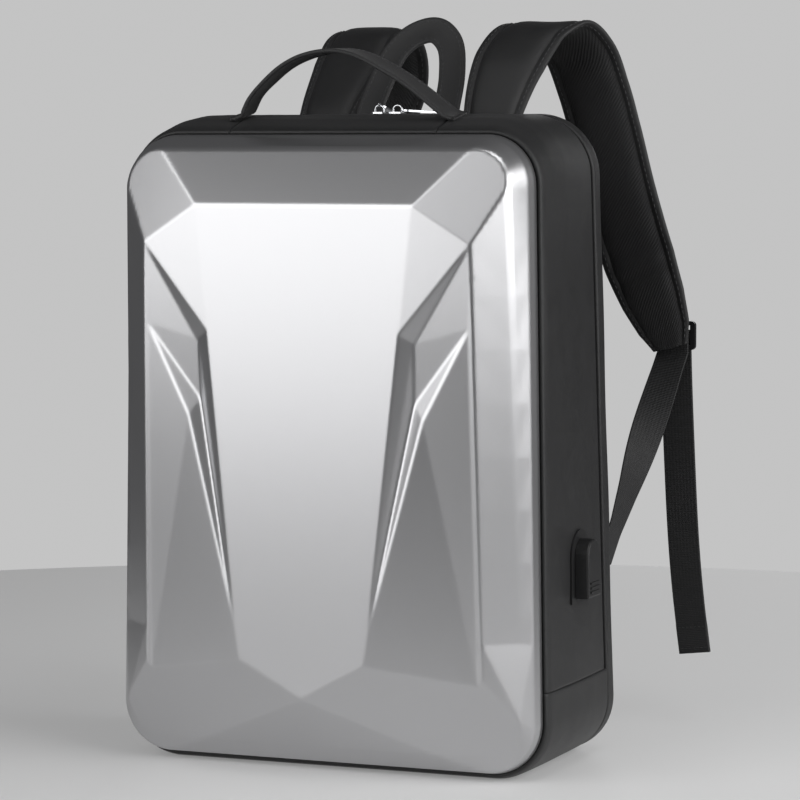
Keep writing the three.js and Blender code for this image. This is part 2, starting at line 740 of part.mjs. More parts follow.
// The course of the left strap, which leans inwards over its arch and passes behind the grab loop.
// Columns: as above, with the width and thickness of the row with the same place above.
const leaningCourse = [
  { out: 0, back: 0, up: 0 },
  { out: 0, back: 0.01, up: 0.09 },
  { out: 0, back: 0.13, up: 0.19 },
  { out: -0.045, back: 0.375, up: 0.335 },
  { out: -0.07, back: 0.565, up: 0.425 },
  { out: -0.1, back: 0.76, up: 0.448 },
  { out: -0.13, back: 0.92, up: 0.4 },
  { out: -0.1, back: 1.03, up: 0.3 },
  { out: 0.05, back: 1.06, up: 0.15 },
  { out: 0.36, back: 1.04, up: -0.08 },
  { out: 0.66, back: 1.03, up: -0.28 },
  { out: 0.83, back: 1.02, up: -0.397 },
  { out: 0.94, back: 1.01, up: -0.49 },
  { out: 1, back: 1, up: -0.552 },
];
const strapRootZ = topZ - strapRootDrop;
const strapSeat = backY(strapRootZ) + gap + (strapThickness * strapRows[0].thickness) / 2;
const strapTip = new THREE.Vector3(
  strapRootOffset + strapSpread,
  strapSeat + strapReach,
  strapRootZ + strapRows[strapRows.length - 1].up * strapHeight,
);

function makeStrap(course) {
  const rows = course.map(({ out, back, up }, i) => ({
    at: new THREE.Vector3(
      strapRootOffset + out * strapSpread,
      strapSeat + back * strapReach,
      strapRootZ + up * strapHeight,
    ),
    across: new THREE.Vector3(1, 0, 0),
    width: strapRows[i].width * strapWidth,
    thickness: strapRows[i].thickness * strapThickness,
  }));
  return strip(stationsAlong(rows, strapSteps), strapRounding);
}

// The ladder buckle: a flat frame with three bars across two slots. It sits behind the strap's tip.
const buckleCentre = strapTip.clone().add(new THREE.Vector3(0, buckleBehind, buckleLift));

function makeBuckle() {
  const frame = new THREE.Shape();
  const half = buckleWidth / 2;
  const tall = buckleHeight / 2;
  const soft = buckleBar;
  frame.absarc(half - soft, -tall + soft, soft, -Math.PI / 2, 0, false);
  frame.absarc(half - soft, tall - soft, soft, 0, Math.PI / 2, false);
  frame.absarc(-half + soft, tall - soft, soft, Math.PI / 2, Math.PI, false);
  frame.absarc(-half + soft, -tall + soft, soft, Math.PI, Math.PI * 1.5, false);
  const slotHeight = tall - buckleBar * 1.5;
  const slots = [-1, 1].map((side) => {
    const slot = new THREE.BoxGeometry(webbingWidth + 4 * gap, slotHeight, buckleThickness * 2);
    return toSolid(slot.translate(0, (side * (buckleBar + slotHeight)) / 2, 0));
  });
  const plain = toSolid(plateOf(frame, buckleThickness, 3).translate(0, 0, -buckleThickness / 2));
  return toGeometry(slots.reduce((rest, slot) => rest.subtract(slot), plain)).rotateX(Math.PI / 2);
}

// The anchor tab, a small sewn tongue behind the lower back that holds the webbing's end.
const tabX = halfWidthAt(tabHeight) - tabInset;

function makeTab() {
  const low = tabHeight - tabBase / 2;
  const high = tabHeight + tabBase / 2;
  const corners = [
    [backY(low) + gap, low],
    [backY(high) + gap, high],
    [backY(high) + gap + tabSpan, high],
    [backY(high) + gap + tabSpan, high - tabTip],
  ];
  const side = (x) => corners.map(([y, z]) => [x, y, z]);
  return loft([side(tabX - tabThickness / 2), side(tabX + tabThickness / 2)], false);
}

// The twist of the webbing between the anchor tab and the buckle. Columns: share of the way up, and
// the rough direction of the webbing's width there.
const twistRows = [
  { along: 0, across: [0, 0.9, -0.44] },
  { along: 0.14, across: [0, 0.9, -0.44] },
  { along: 0.32, across: [0.25, 0.85, -0.36] },
  { along: 0.52, across: [0.6, 0.6, -0.2] },
  { along: 0.74, across: [0.9, 0.25, -0.05] },
  { along: 0.92, across: [1, 0, 0] },
  { along: 1, across: [1, 0, 0] },
];
const tailShares = [0.06, 0.25, 0.5, 0.75];

// The adjuster webbing: from the middle of the anchor tab up to the buckle, over its middle bar and
// down as a free tail, whose last stretch is folded double.
function makeWebbing() {
  const tabTop = tabHeight + tabBase / 2;
  const start = new THREE.Vector3(
    tabX + tabThickness / 2 + gap + webbingThickness / 2,
    backY(tabTop) + gap + tabSpan / 2,
    tabTop - webbingDrop,
  );
  const front = buckleCentre.clone().add(new THREE.Vector3(0, -webbingTurn, -webbingDip));
  const flat = new THREE.Vector3(1, 0, 0);
  const lower = twistRows.map(({ along, across }) => ({
    at: start.clone().lerp(front, along),
    across: new THREE.Vector3(...across),
  }));
  const turnSteps = 6;
  const turn = Array.from({ length: turnSteps + 1 }, (_, i) => {
    const angle = (Math.PI * i) / turnSteps;
    const swing = new THREE.Vector3(0, -Math.cos(angle) * webbingTurn, Math.sin(angle) * webbingTurn);
    return { at: buckleCentre.clone().add(swing), across: flat };
  });
  const top = buckleCentre.clone().add(new THREE.Vector3(0, webbingTurn, 0));
  const hang = (share) => top.clone().add(new THREE.Vector3(
    tailDrift * share * share,
    tailSwing * share,
    -tailLength * share,
  ));
  const hemShare = 1 - hemLength / tailLength;
  const hemStep = webbingThickness / tailLength;
  const tail = [...tailShares, hemShare - hemStep].map((share) => ({ at: hang(share), across: flat }));
  const doubled = webbingThickness * 2;
  const hem = [hemShare, 1].map((share) => ({ at: hang(share), across: flat, thickness: doubled }));
  const stations = [...lower, ...turn, ...tail, ...hem].map((station) => ({
    thickness: webbingThickness,
    ...station,
    width: webbingWidth,
  }));
  return strip(stations, 0);
}

// A zip slider: a low body with an arched wire bridge over it, along the zip.
function makeSlider() {
  const body = new THREE.Shape();
  const [half, side] = [sliderLength / 2, sliderWidth / 2];
  body.moveTo(-half, -side * sliderTaper);
  body.lineTo(-half * sliderTaper, -side);
  body.lineTo(half * sliderTaper, -side);
  body.lineTo(half, -side * sliderTaper);
  body.lineTo(half, side * sliderTaper);
  body.lineTo(half * sliderTaper, side);
  body.lineTo(-half * sliderTaper, side);
  body.lineTo(-half, side * sliderTaper);
  const block = plateOf(body, sliderHeight, 1);
  const arc = upTo(0, 8).map((i) => (Math.PI * i) / 8);
  const centres = [
    [bridgeRadius, sliderHeight - bridgeLeg / 2],
    ...arc.map((angle) => [
      bridgeRadius * Math.cos(angle),
      sliderHeight + bridgeLeg + bridgeRadius * Math.sin(angle),
    ]),
    [-bridgeRadius, sliderHeight - bridgeLeg / 2],
  ];
  const stations = centres.map(([x, z]) => ({
    at: new THREE.Vector3(x, 0, z),
    across: new THREE.Vector3(0, 1, 0),
    width: bridgeWire * 2,
    thickness: bridgeWire * 2,
  }));
  return joined([block, strip(stations, strapRounding)]);
}

// A pull: a small ring round the bridge and a flat tab. It lies along x, with the ring at the origin.
function makePull(flatRing) {
  const ring = new THREE.TorusGeometry(ringRadius, ringWire, 6, 14);
  if (!flatRing) {
    ring.rotateX(Math.PI / 2);
  }
  const tab = new THREE.Shape();
  const near = ringRadius - ringWire / 2;
  const tip = ringRadius + pullLength;
  const neck = pullWidth * pullNeck;
  tab.moveTo(near, -neck / 2);
  tab.lineTo(near + pullWidth * 0.5, -neck / 2);
  tab.lineTo(near + pullWidth, -pullWidth / 2);
  tab.absarc(tip - pullWidth / 2, 0, pullWidth / 2, -Math.PI / 2, Math.PI / 2, false);
  tab.lineTo(near + pullWidth, pullWidth / 2);
  tab.lineTo(near + pullWidth * 0.5, neck / 2);
  tab.lineTo(near, neck / 2);
  return joined([ring, plateOf(tab, pullThickness, 6).translate(0, 0, -pullThickness / 2)]);
}

// An upright plate with a round top, in y and z, standing out along x with a softened outer edge.
function archPlate(width, height, depth, soft) {
  const bend = soft * (1 - Math.SQRT1_2);
  const rows = soft > 0
    ? [
      { inward: 0, out: 0 },
      { inward: 0, out: depth - soft },
      { inward: bend, out: depth - bend },
      { inward: soft, out: depth },
    ]
    : [{ inward: 0, out: 0 }, { inward: 0, out: depth }];
  const steps = 12;
  return loft(rows.map(({ inward, out }) => {
    const radius = width / 2 - inward;
    const shoulder = height - width / 2;
    const arc = upTo(0, steps).map((i) => {
      const angle = (Math.PI * i) / steps;
      return [out, radius * Math.cos(angle), shoulder + radius * Math.sin(angle)];
    });
    return [...arc, [out, -radius, inward], [out, radius, inward]];
  }), false);
}

function makeCover() {
  const pieces = [archPlate(coverWidth, coverHeight, coverProud, coverSoft)];
  for (let i = 0; i < ribCount; i += 1) {
    const rib = new THREE.BoxGeometry(ribDepth, ribLength, ribHeight);
    pieces.push(rib.translate(coverProud, 0, ribStart + ribPitch * i));
  }
  return joined(pieces);
}

addMesh("shell", makeShell(), silver);
addMesh("shell_trim", makeTrim(), blackRubber);

const beyond = 1000;
const bodyRing = skinRing(zipFront);
const baseRing = skinRing((z) => backY(z) - bandDepth - gap);
const panelEdge = topPanelWidth / 2;
const aboveSeam = seamHeight + gap / 2;
const right = within(bodyRing, [panelEdge + gap / 2, -beyond, aboveSeam],
  [beyond, beyond, beyond]);
const top = within(bodyRing, [-panelEdge + gap / 2, -beyond, rimHeight / 2],
  [panelEdge - gap / 2, beyond, beyond]);
const base = within(baseRing, [-beyond, -beyond, -beyond], [beyond, beyond, seamHeight - gap / 2]);
const zip = within(makeZip(), [-beyond, -beyond, aboveSeam + gap], [beyond, beyond, beyond]);
addMesh("side_panel_right", right, blackFabric);
addMesh("side_panel_left", mirrored(right), blackFabric);
addMesh("top_panel", top, blackFabric);
addMesh("base_panel", base, blackFabric);
addMesh("zip_tape", zip, blackPlastic);
addMesh("rear_band", makeBand(), blackFabric);
addMesh("back_panel", makeBack(), blackMesh);

const zipY = zipFront(topZ) + zipWidth / 2;
const sliderBase = topZ + gap;
for (const [name, side] of [["left", -1], ["right", 1]]) {
  const slider = new THREE.Group();
  slider.position.set((side * sliderSpacing) / 2, zipY, sliderBase);
  addMesh(`slider_${name}`, makeSlider(), chrome, slider);
  const pull = addMesh(`pull_${name}`, makePull(side > 0), chrome, slider);
  const bridgeZ = sliderHeight + bridgeLeg;
  if (side > 0) {
    const hinge = new THREE.Group();
    hinge.position.set(0, 0, bridgeZ);
    hinge.rotation.y = THREE.MathUtils.degToRad(pullDroop);
    pull.position.set(bridgeRadius, 0, 0);
    hinge.add(pull);
    slider.add(hinge);
  } else {
    const hinge = new THREE.Group();
    hinge.position.set(0, 0, bridgeZ + bridgeRadius);
    hinge.rotation.x = THREE.MathUtils.degToRad(-pullFlop);
    pull.rotation.z = Math.PI / 2;
    hinge.add(pull);
    slider.add(hinge);
  }
  bag.add(slider);
}

addMesh("top_handle", makeHandle(), blackFabric);
addMesh("grab_loop", makeLoop(), blackFabric);

const buckle = makeBuckle();
const webbing = makeWebbing();
const tab = makeTab();
addMesh("strap_right", makeStrap(strapRows), blackMesh);
addMesh("strap_left", mirrored(makeStrap(leaningCourse)), blackMesh);
for (const [name, side] of [["right", 1], ["left", -1]]) {
  const frame = addMesh(`buckle_${name}`, buckle.clone(), blackPlastic);
  frame.position.set(side * buckleCentre.x, buckleCentre.y, buckleCentre.z);
}
addMesh("webbing_right", webbing, blackFabric);
addMesh("webbing_left", mirrored(webbing), blackFabric);
addMesh("anchor_tab_right", tab, blackFabric);
addMesh("anchor_tab_left", mirrored(tab), blackFabric);

// The cable port leans with the side of the bag.
const portY = rimY + portSetback;
const port = new THREE.Group();
port.position.set(halfWidthAt(portHeight) + sideBulge + gap, portY, portHeight);
port.rotation.y = -Math.atan(sideLean);
addMesh("port_patch", archPlate(patchWidth, patchHeight, patchThickness, 0), blackRubber, port);
const cover = addMesh("port_cover", makeCover(), blackRubber, port);
cover.position.set(patchThickness + gap, 0, coverLift);
bag.add(port);

export default bag;
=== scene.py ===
import math
import bpy
import numpy as np
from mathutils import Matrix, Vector
from mathutils.geometry import tessellate_polygon


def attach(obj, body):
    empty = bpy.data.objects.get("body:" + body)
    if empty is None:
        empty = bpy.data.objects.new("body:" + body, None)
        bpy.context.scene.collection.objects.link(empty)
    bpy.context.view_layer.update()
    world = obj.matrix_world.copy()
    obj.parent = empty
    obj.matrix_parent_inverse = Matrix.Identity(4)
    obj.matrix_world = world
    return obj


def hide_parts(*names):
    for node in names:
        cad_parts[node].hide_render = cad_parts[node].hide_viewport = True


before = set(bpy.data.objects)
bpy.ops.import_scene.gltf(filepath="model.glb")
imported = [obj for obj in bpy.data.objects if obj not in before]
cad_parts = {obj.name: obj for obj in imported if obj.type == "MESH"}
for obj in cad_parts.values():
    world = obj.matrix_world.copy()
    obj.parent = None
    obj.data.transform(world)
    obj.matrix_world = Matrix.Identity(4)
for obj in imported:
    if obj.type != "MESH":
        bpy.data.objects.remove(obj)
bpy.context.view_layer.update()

join = np.concatenate

# All sizes are in millimetres, in the CAD frame, until a mesh is made.
MM = 0.001
GAP = 0.3

RIM_WIDTH = 315
RIM_FLARE = 12
RIM_HEIGHT = 453
RIM_LIFT = 3
RADIUS_TOP = 38
RADIUS_BOTTOM = 40
RIM_Y = -77
TOP_Z = 469
TOP_RISE = 13
SIDE_BULGE = 2.5
SEAM_Z = 64
SEAM_X = 80
GROOVE = 0.9

SHELL_DEPTH = 54.3
SHELL_INSET = 2
LIP_DRAFT = 2
LIP_DEPTH = 11
EDGE_WIDTH = 9
EDGE_DROP = 15
TOP_EDGE_AHEAD = 0.556

BAND_DEPTH = 21
BAND_RADIUS = 10
BAND_FACE = 14
ZIP_WIDTH = 6

# The straps' spread, reach behind the back and height, and where they start from the top's middle.
STRAP_SPAN = (104, 113, 239)
STRAP_OFFSET = 68
STRAP_DROP = 44
STRAP_WIDTH = 60
STRAP_THICKNESS = 11

# The handle and the grab loop. Both are cut from the same strip.
STRIP_THICKNESS = 3
HANDLE_WIDTH = 25.5
HANDLE_SPAN = 160
HANDLE_RISE = 46.5
HANDLE_SETBACK = 30
LOOP_WIDTH = 21
LOOP_SPAN = 63
LOOP_REACH = 46
LOOP_HEIGHT = 100
LOOP_DROP = 36

# The webbing, and the tabs that hold its lower ends.
WEB_WIDTH = 25
WEB_THICKNESS = 1.6
WEB_TURN = 3.7
WEB_SEWN = 18
WEB_ENTRY = 13.2
TAIL_LENGTH = 246
TAB_HEIGHT = 138
TAB_HALF = 22
TAB_SPAN = 26
TAB_TIP = 20
TAB_INSET = 12
TAB_SWELL = (0.7, 0.8)

# The cushions of the back: their whole width, their lowest and highest edge, and their shape.
PADS_WIDTH = 264
PADS_LOW = 34
PADS_HIGH = 398
PAD_GAP = 12
PAD_CORNER = 18
PAD_CROWN = 5.6

# The camera's turn to the right and its look down, in degrees.
CAMERA_TURN = 22.5
CAMERA_PITCH = 4.24
CAMERA_PLACE = (0.9701, -2.2902, 0.4445)


def back_y(z):
    return 77 - 23 * np.asarray(z, float) / TOP_Z


def zip_front(z):
    return back_y(z) - BAND_DEPTH - ZIP_WIDTH


def side_x(z):
    """Half of the rim's width on its straight, flaring side."""
    lean = RIM_FLARE / 2 / (RIM_HEIGHT - RADIUS_TOP - RADIUS_BOTTOM)
    return (RIM_WIDTH + RIM_FLARE) / 2 - lean * (z - RIM_LIFT - RADIUS_BOTTOM)


def unit(v):
    v = np.asarray(v, float)
    return v / np.maximum(np.linalg.norm(v, axis=-1, keepdims=True), 1e-9)


def lengths(points):
    steps = np.linalg.norm(np.diff(points, axis=0), axis=1)
    return join([[0], np.cumsum(steps)])


def ease(x):
    x = np.clip(x, 0, 1)
    return x * x * (3 - 2 * x)


def catmull(points, shares):
    """A centripetal Catmull-Rom curve through the points, at shares of its point count."""
    pts = join([2 * points[:1] - points[1:2], points, 2 * points[-1:] - points[-2:-1]])
    out = []
    for share in shares:
        place = (len(points) - 1) * share
        i = min(int(place), len(points) - 2)
        w = place - i
        p0, p1, p2, p3 = pts[i:i + 4]
        d0, d1, d2 = (max(np.linalg.norm(b - a) ** 0.5, 1e-3)
                      for a, b in ((p0, p1), (p1, p2), (p2, p3)))
        t1 = ((p1 - p0) / d0 - (p2 - p0) / (d0 + d1) + (p2 - p1) / d1) * d1
        t2 = ((p2 - p1) / d1 - (p3 - p1) / (d1 + d2) + (p3 - p2) / d2) * d1
        out.append(p1 + t1 * w + (3 * p2 - 3 * p1 - 2 * t1 - t2) * w ** 2
                   + (2 * p1 - 2 * p2 + t1 + t2) * w ** 3)
    return np.array(out)


def stand(flat, y):
    """Points [x, y, z] from points [x, z] and their y."""
    return np.stack([flat[..., 0], np.broadcast_to(y, flat.shape[:-1]), flat[..., 1]], -1)


def corner_uv(*parts):
    return join([np.reshape(part, (-1, 2)) for part in parts])


def interpolate(where, at, rows):
    """Each column of the rows, which are known at the places in at, read at the places in where."""
    return np.stack([np.interp(where, at, column) for column in np.asarray(rows, float).T], -1)


def blend_rows(rows, shares):
    return interpolate(shares * (len(rows) - 1), range(len(rows)), rows)


def graded(length, step, fine=(0, 0.25, 0.6, 1.1, 1.8, 2.8)):
    """Positions along a run, close together near both ends."""
    middle = max(2, int((length - 2 * fine[-1]) / step))
    inner = np.linspace(fine[-1], length - fine[-1], middle)
    return join([fine[:-1], inner, [length - f for f in fine[-2::-1]]])


def resample(points, positions):
    at = lengths(points)
    return interpolate(positions * at[-1] / positions[-1], at, points)


def add_node(tree, kind, inputs=None, **settings):
    """A shader node with its settings, and its inputs as values or as sockets that feed them."""
    made = tree.nodes.new(kind)
    for key, value in settings.items():
        setattr(made, key, value)
    for key, value in (inputs or {}).items():
        if isinstance(value, bpy.types.NodeSocket):
            tree.links.new(value, made.inputs[key])
        else:
            made.inputs[key].default_value = value
    return made


class Look:
    """One procedural material, built from named nodes."""

    def __init__(self, name, colour, rough, **sockets):
        self.material = bpy.data.materials.new(name)
        self.material.use_nodes = True
        self.tree = self.material.node_tree
        self.shader = self.tree.nodes["Principled BSDF"]
        self.shader.inputs["Base Color"].default_value = (*colour, 1)
        self.shader.inputs["Roughness"].default_value = rough
        for socket, value in sockets.items():
            self.shader.inputs[socket.replace("_", " ")].default_value = value
        self.colour = colour
        self.rough = rough
        self.coordinates = self.tree.nodes.new("ShaderNodeTexCoord")
        self.last_bump = None

    def node(self, kind, inputs, **settings):
        return add_node(self.tree, kind, inputs, **settings)

    def math(self, operation, *values):
        return self.node("ShaderNodeMath", dict(enumerate(values)), operation=operation).outputs[0]

    def noise(self, scale, detail):
        place = self.coordinates.outputs["Object"]
        return self.node("ShaderNodeTexNoise", {
            "Vector": place, "Scale": scale, "Detail": detail}).outputs[0]

    def vary(self, scale, amount):
        """The base colour and the roughness drift a little over the surface."""
        noise = self.noise(scale, 3)
        low = tuple(c * (1 - amount) for c in self.colour)
        high = tuple(min(1, c * (1 + amount)) for c in self.colour)
        mix = self.node("ShaderNodeMix", {0: noise, 6: (*low, 1), 7: (*high, 1)}, data_type="RGBA")
        self.tree.links.new(mix.outputs[2], self.shader.inputs["Base Color"])
        spread = self.node("ShaderNodeMapRange", {
            0: noise, 3: self.rough * (1 - amount / 2), 4: min(1, self.rough * (1 + amount / 2))})
        self.tree.links.new(spread.outputs[0], self.shader.inputs["Roughness"])

    def bump(self, height, strength, depth_mm):
        inputs = {"Strength": strength, "Distance": depth_mm * MM, "Height": height}
        if self.last_bump:
            inputs["Normal"] = self.last_bump
        self.last_bump = self.node("ShaderNodeBump", inputs).outputs[0]
        self.tree.links.new(self.last_bump, self.shader.inputs["Normal"])

    def wave(self, pitch, along):
        """A sine over the piece's own surface coordinates, which are in millimetres."""
        split = self.node("ShaderNodeSeparateXYZ", {0: self.coordinates.outputs["UV"]})
        u, v = (self.math("MULTIPLY", split.outputs[k], along[k] * 2 * math.pi / pitch)
                for k in (0, 1))
        return self.math("SINE", self.math("ADD", u, v))


# Woven looks. Columns: key, name, colour, roughness, sheen, the drift's scale and amount, and the
# bumps: strength, depth, and one wave or the product of two, each by pitch and direction.
WEAVES = [
    ("mesh", "strap_mesh", (0.004, 0.004, 0.0045), 0.7, 0.04, (80, 0.3),
     [(0.55, 0.28, (2.1, (0.7, 0.7))), (0.5, 0.2, (1.4, (0.7, -0.7)), (1.4, (0.7, 0.7)))]),
    ("air", "back_mesh", (0.009, 0.009, 0.0095), 0.75, 0.08, (70, 0.3),
     [(0.7, 0.45, (2.4, (1, 0.58)), (2.4, (1, -0.58)))]),
    ("webbing", "ribbed_webbing", (0.010, 0.010, 0.0105), 0.58, 0.06, (90, 0.25),
     [(0.7, 0.22, (1.4, (1, 0))), (0.4, 0.12, (2.6, (0, 1)))])]
# Plain cloths, added to them. Columns: key, name, colour, roughness, sheen, pitch and depth.
CLOTHS = [
    ("fabric", "coated_fabric", (0.008, 0.008, 0.0085), 0.5, 0.035, 0.9, 0.07),
    ("strip", "handle_fabric", (0.012, 0.012, 0.0125), 0.55, 0.06, 1.1, 0.1),
    ("binding", "binding_fabric", (0.007, 0.007, 0.0075), 0.55, 0.04, 1.2, 0.1),
    ("tape", "zip_tape_weave", (0.010, 0.010, 0.011), 0.7, 0.1, 1.0, 0.12)]
WEAVES += [(*cloth[:5], (60, 0.25), [(0.6, cloth[6], (cloth[5], (1, 0)), (cloth[5], (0, 1)))])
           for cloth in CLOTHS]


def make_looks():
    looks = {}
    for key, name, colour, rough, sheen, drift, bumps in WEAVES:
        look = Look(name, colour, rough, Sheen_Weight=sheen)
        look.vary(*drift)
        for strength, depth, *waves in bumps:
            heights = [look.wave(*wave) for wave in waves]
            height = look.math("MULTIPLY", *heights) if len(heights) > 1 else heights[0]
            look.bump(height, strength, depth)
        if key in [cloth[0] for cloth in CLOTHS]:
            look.bump(look.noise(260, 4), 0.25, 0.35)
        looks[key] = look.material

    # Plain finishes. Columns: key, name, colour, roughness, the drift's scale and amount, the
    # grain's scale, detail, strength and depth, and other sockets.
    for key, name, colour, rough, drift, grain, sockets in (
        ("shell", "silver_finish", (0.52, 0.52, 0.53), 0.31,
         (3, 0.04), (850, 3, 0.3, 0.07), {"Metallic": 0.92}),
        ("rubber", "black_rubber_finish", (0.010, 0.010, 0.0105), 0.45,
         (40, 0.15), (900, 3, 0.2, 0.08), {}),
        ("plastic", "black_plastic_finish", (0.009, 0.009, 0.0095), 0.38,
         (40, 0.15), (1500, 3, 0.2, 0.08), {}),
        ("teeth", "zip_teeth", (0.012, 0.012, 0.013), 0.35,
         (120, 0.3), (1200, 2, 0.15, 0.05), {}),
        ("thread", "thread", (0.030, 0.030, 0.032), 0.65,
         (200, 0.3), (3000, 2, 0.4, 0.1), {"Sheen_Weight": 0.2}),
        ("chrome", "polished_metal", (0.72, 0.73, 0.75), 0.18,
         (300, 0.06), (1800, 3, 0.08, 0.03), {"Metallic": 1.0}),
    ):
        look = Look(name, colour, rough, **sockets)
        look.vary(*drift)
        look.bump(look.noise(*grain[:2]), *grain[2:])
        looks[key] = look.material
    return looks


LOOKS = make_looks()


def add_piece(name, points, faces, looks, uv=None, parts=None, normals=None):
    mesh = bpy.data.meshes.new(name)
    corners = [list(map(int, face)) for face in faces]
    mesh.from_pydata((np.asarray(points, float) * MM).tolist(), [], corners)
    for look in looks:
        mesh.materials.append(LOOKS[look])
    if parts is not None:
        mesh.polygons.foreach_set("material_index", np.asarray(parts, np.int32))
    mesh.polygons.foreach_set("use_smooth", np.ones(len(faces), bool))
    if uv is not None:
        layer = mesh.uv_layers.new(name="surface_mm")
        layer.data.foreach_set("uv", np.asarray(uv, np.float32).ravel())
    mesh.update()
    if normals is not None:
        mesh.normals_split_custom_set_from_vertices(normals.tolist())
    piece = bpy.data.objects.new(name, mesh)
    bpy.context.collection.objects.link(piece)
    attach(piece, "bag")
    return piece


def quads(points, closed=False):
    """Faces and surface coordinates in millimetres of a grid of points, which may close across."""
    n, m = points.shape[:2]
    i, j = np.meshgrid(np.arange(n - 1), np.arange(m if closed else m - 1), indexing="ij")
    qi = np.stack([i, i + 1, i + 1, i], -1).reshape(-1, 4)
    qj = np.stack([j, j, j + 1, j + 1], -1).reshape(-1, 4)
    u = lengths(points[:, m // 2])
    v = lengths(join([points[n // 2], points[n // 2, :1]]))
    return qi * m + qj % m, np.stack([u[qi], v[qj]], -1)


def grid_rim(n, m):
    """The places of the points round a grid's rim."""
    index = np.arange(n * m).reshape(n, m)
    return join([index[:, -1], index[-1, -2::-1], index[-2::-1, 0], index[0, 1:-1]])


def between_corners(n, m, a, b, c, d):
    """Shares u and v over a grid, and the points between its corners at u, v 00, 10, 01, 11."""
    u = np.linspace(0, 1, n)[:, None, None]
    v = np.linspace(0, 1, m)[None, :, None]
    return u, v, (1 - v) * ((1 - u) * a + u * b) + v * ((1 - u) * c + u * d)


def ribbon(ring, other):
    """Faces between two closed rings of point places."""
    return np.stack([ring, np.roll(ring, -1), np.roll(other, -1), other], 1)


def end_face(points, ring, way):
    """A face over a closed ring of places that looks backwards if way is 1, forwards if -1."""
    a, b, c = points[ring[[0, 1, len(ring) // 2]]]
    return ring if np.cross(b - a, c - a)[1] * way > 0 else ring[::-1]


def turned_out(points, faces, inside):
    """The faces, turned round if most of them look towards the point inside."""
    a, b, c = (points[faces[:, k]] for k in range(3))
    return faces[:, ::-1] if np.sum(np.cross(b - a, c - a) * (a - inside)) < 0 else faces


def outward(points, faces, uv, inside):
    turned = turned_out(points.reshape(-1, 3), faces, np.asarray(inside, float))
    return turned, (uv if turned is faces else uv[:, ::-1])


def sheet(name, points, look, inside, closed=False):
    faces, uv = outward(points, *quads(points, closed), inside=inside)
    return add_piece(name, points.reshape(-1, 3), faces, [look], uv)


def sweep(name, centres, across, sections, looks, parts=None, mirror=1):
    """A strip with closed ends, swept along the centres. Mirror -1 makes its mirror image."""
    centres, across = centres * [mirror, 1, 1], across * mirror
    sections = sections * [1, mirror]
    runs = unit(join([centres[1:2] - centres[:1], centres[2:] - centres[:-2],
                      centres[-1:] - centres[-2:-1]]))
    side = unit(across - np.sum(across * runs, axis=1, keepdims=True) * runs)
    out = np.cross(side, runs)
    ring = centres[:, None] + sections[..., :1] * side[:, None] + sections[..., 1:] * out[:, None]
    n, m = ring.shape[:2]
    plain, uv = quads(ring, closed=True)
    faces, uv = outward(ring, plain, uv, ring.mean(axis=(0, 1)))
    caps = [list(range(m)), list(range(n * m - 1, n * m - m - 1, -1))]
    if faces is plain:
        caps = [cap[::-1] for cap in caps]
    caps_uv = [[sections[end][i % m] for i in cap] for end, cap in zip((0, -1), caps)]
    all_uv = corner_uv(uv, *caps_uv)
    all_parts = None if parts is None else join([np.tile(parts, n - 1), [0, 0]])
    all_faces = faces.tolist() + caps
    piece = add_piece(name, ring.reshape(-1, 3), all_faces, looks, all_uv, all_parts)
    return piece, ring, side, out * mirror


def stitches(name, runs, pitch=4.0, length=2.6, width=0.7, height=0.5):
    """Thread stitches along runs, each a pair: points and the outward directions there."""
    points, faces = [], []
    for path, normals in runs:
        at = lengths(path)
        count = int(at[-1] / pitch)
        for k in range(count):
            middle = (k + 0.5) * at[-1] / count
            start, end = (interpolate(middle + s * length / 2, at, path) for s in (-1, 1))
            normal = unit(interpolate(middle, at, normals))
            across = np.cross(unit(end - start), normal)
            base = len(points)
            for share, rise in ((0, 0.15), (0.25, 1), (0.75, 1), (1, 0.15)):
                point = start + (end - start) * share
                points += [point + across * width * a + normal * b
                           for a, b in ((-0.5, -0.2), (0, height * rise), (0.5, -0.2))]
            for a in (base, base + 3, base + 6):
                faces += [[a, a + 1, a + 4, a + 3], [a + 1, a + 2, a + 5, a + 4],
                          [a + 2, a, a + 3, a + 5]]
            faces += [[base, base + 2, base + 1], [base + 9, base + 10, base + 11]]
    return add_piece(name, points, faces, ["thread"])


# Steps in each rounded corner of the rim's outline, and the turn from its right half to its left.
ARC = 18
FLIP = np.array([-1, 1])


def half_outline(side, rise, drop):
    """The right half's upper and lower arcs, as arrays of [x, z]. Straight runs join them."""
    radius_top = RADIUS_TOP + (side + rise) / 2
    radius_bottom = RADIUS_BOTTOM + (side + drop) / 2
    top_x = RIM_WIDTH / 2 + side - radius_top
    top_z = RIM_LIFT + RIM_HEIGHT + rise
    low_x = (RIM_WIDTH + RIM_FLARE) / 2 + side - radius_bottom
    low_z = RIM_LIFT - drop
    turn = np.radians(90 - np.linspace(0, 90, ARC + 1))
    arc = lambda x, z, radius, turns: np.stack([x + radius * np.cos(turns),
                                                z + radius * np.sin(turns)], 1)
    upper = arc(top_x, top_z - radius_top, radius_top, turn)
    lower = arc(low_x, low_z + radius_bottom, radius_bottom, turn - math.pi / 2)
    return upper, lower


def side_point(upper, lower, z):
    """The point at height z on the straight side between the two arcs."""
    share = (z - upper[-1][1]) / (lower[0][1] - upper[-1][1])
    return upper[-1] + (lower[0] - upper[-1]) * share


def ring_outline(offsets, top, sides, bottom):
    """The whole outline, clockwise from the right end of the top edge, in the counts given."""
    upper, lower = half_outline(*offsets)
    straight = lambda a, b, n: a + (b - a) * (np.arange(1, n) / n)[:, None]
    right = join([upper, straight(upper[-1], lower[0], sides), lower])
    left = (right * FLIP)[::-1]
    return join([right, straight(right[-1], left[0], bottom),
                 left, straight(left[-1], right[0], top)])


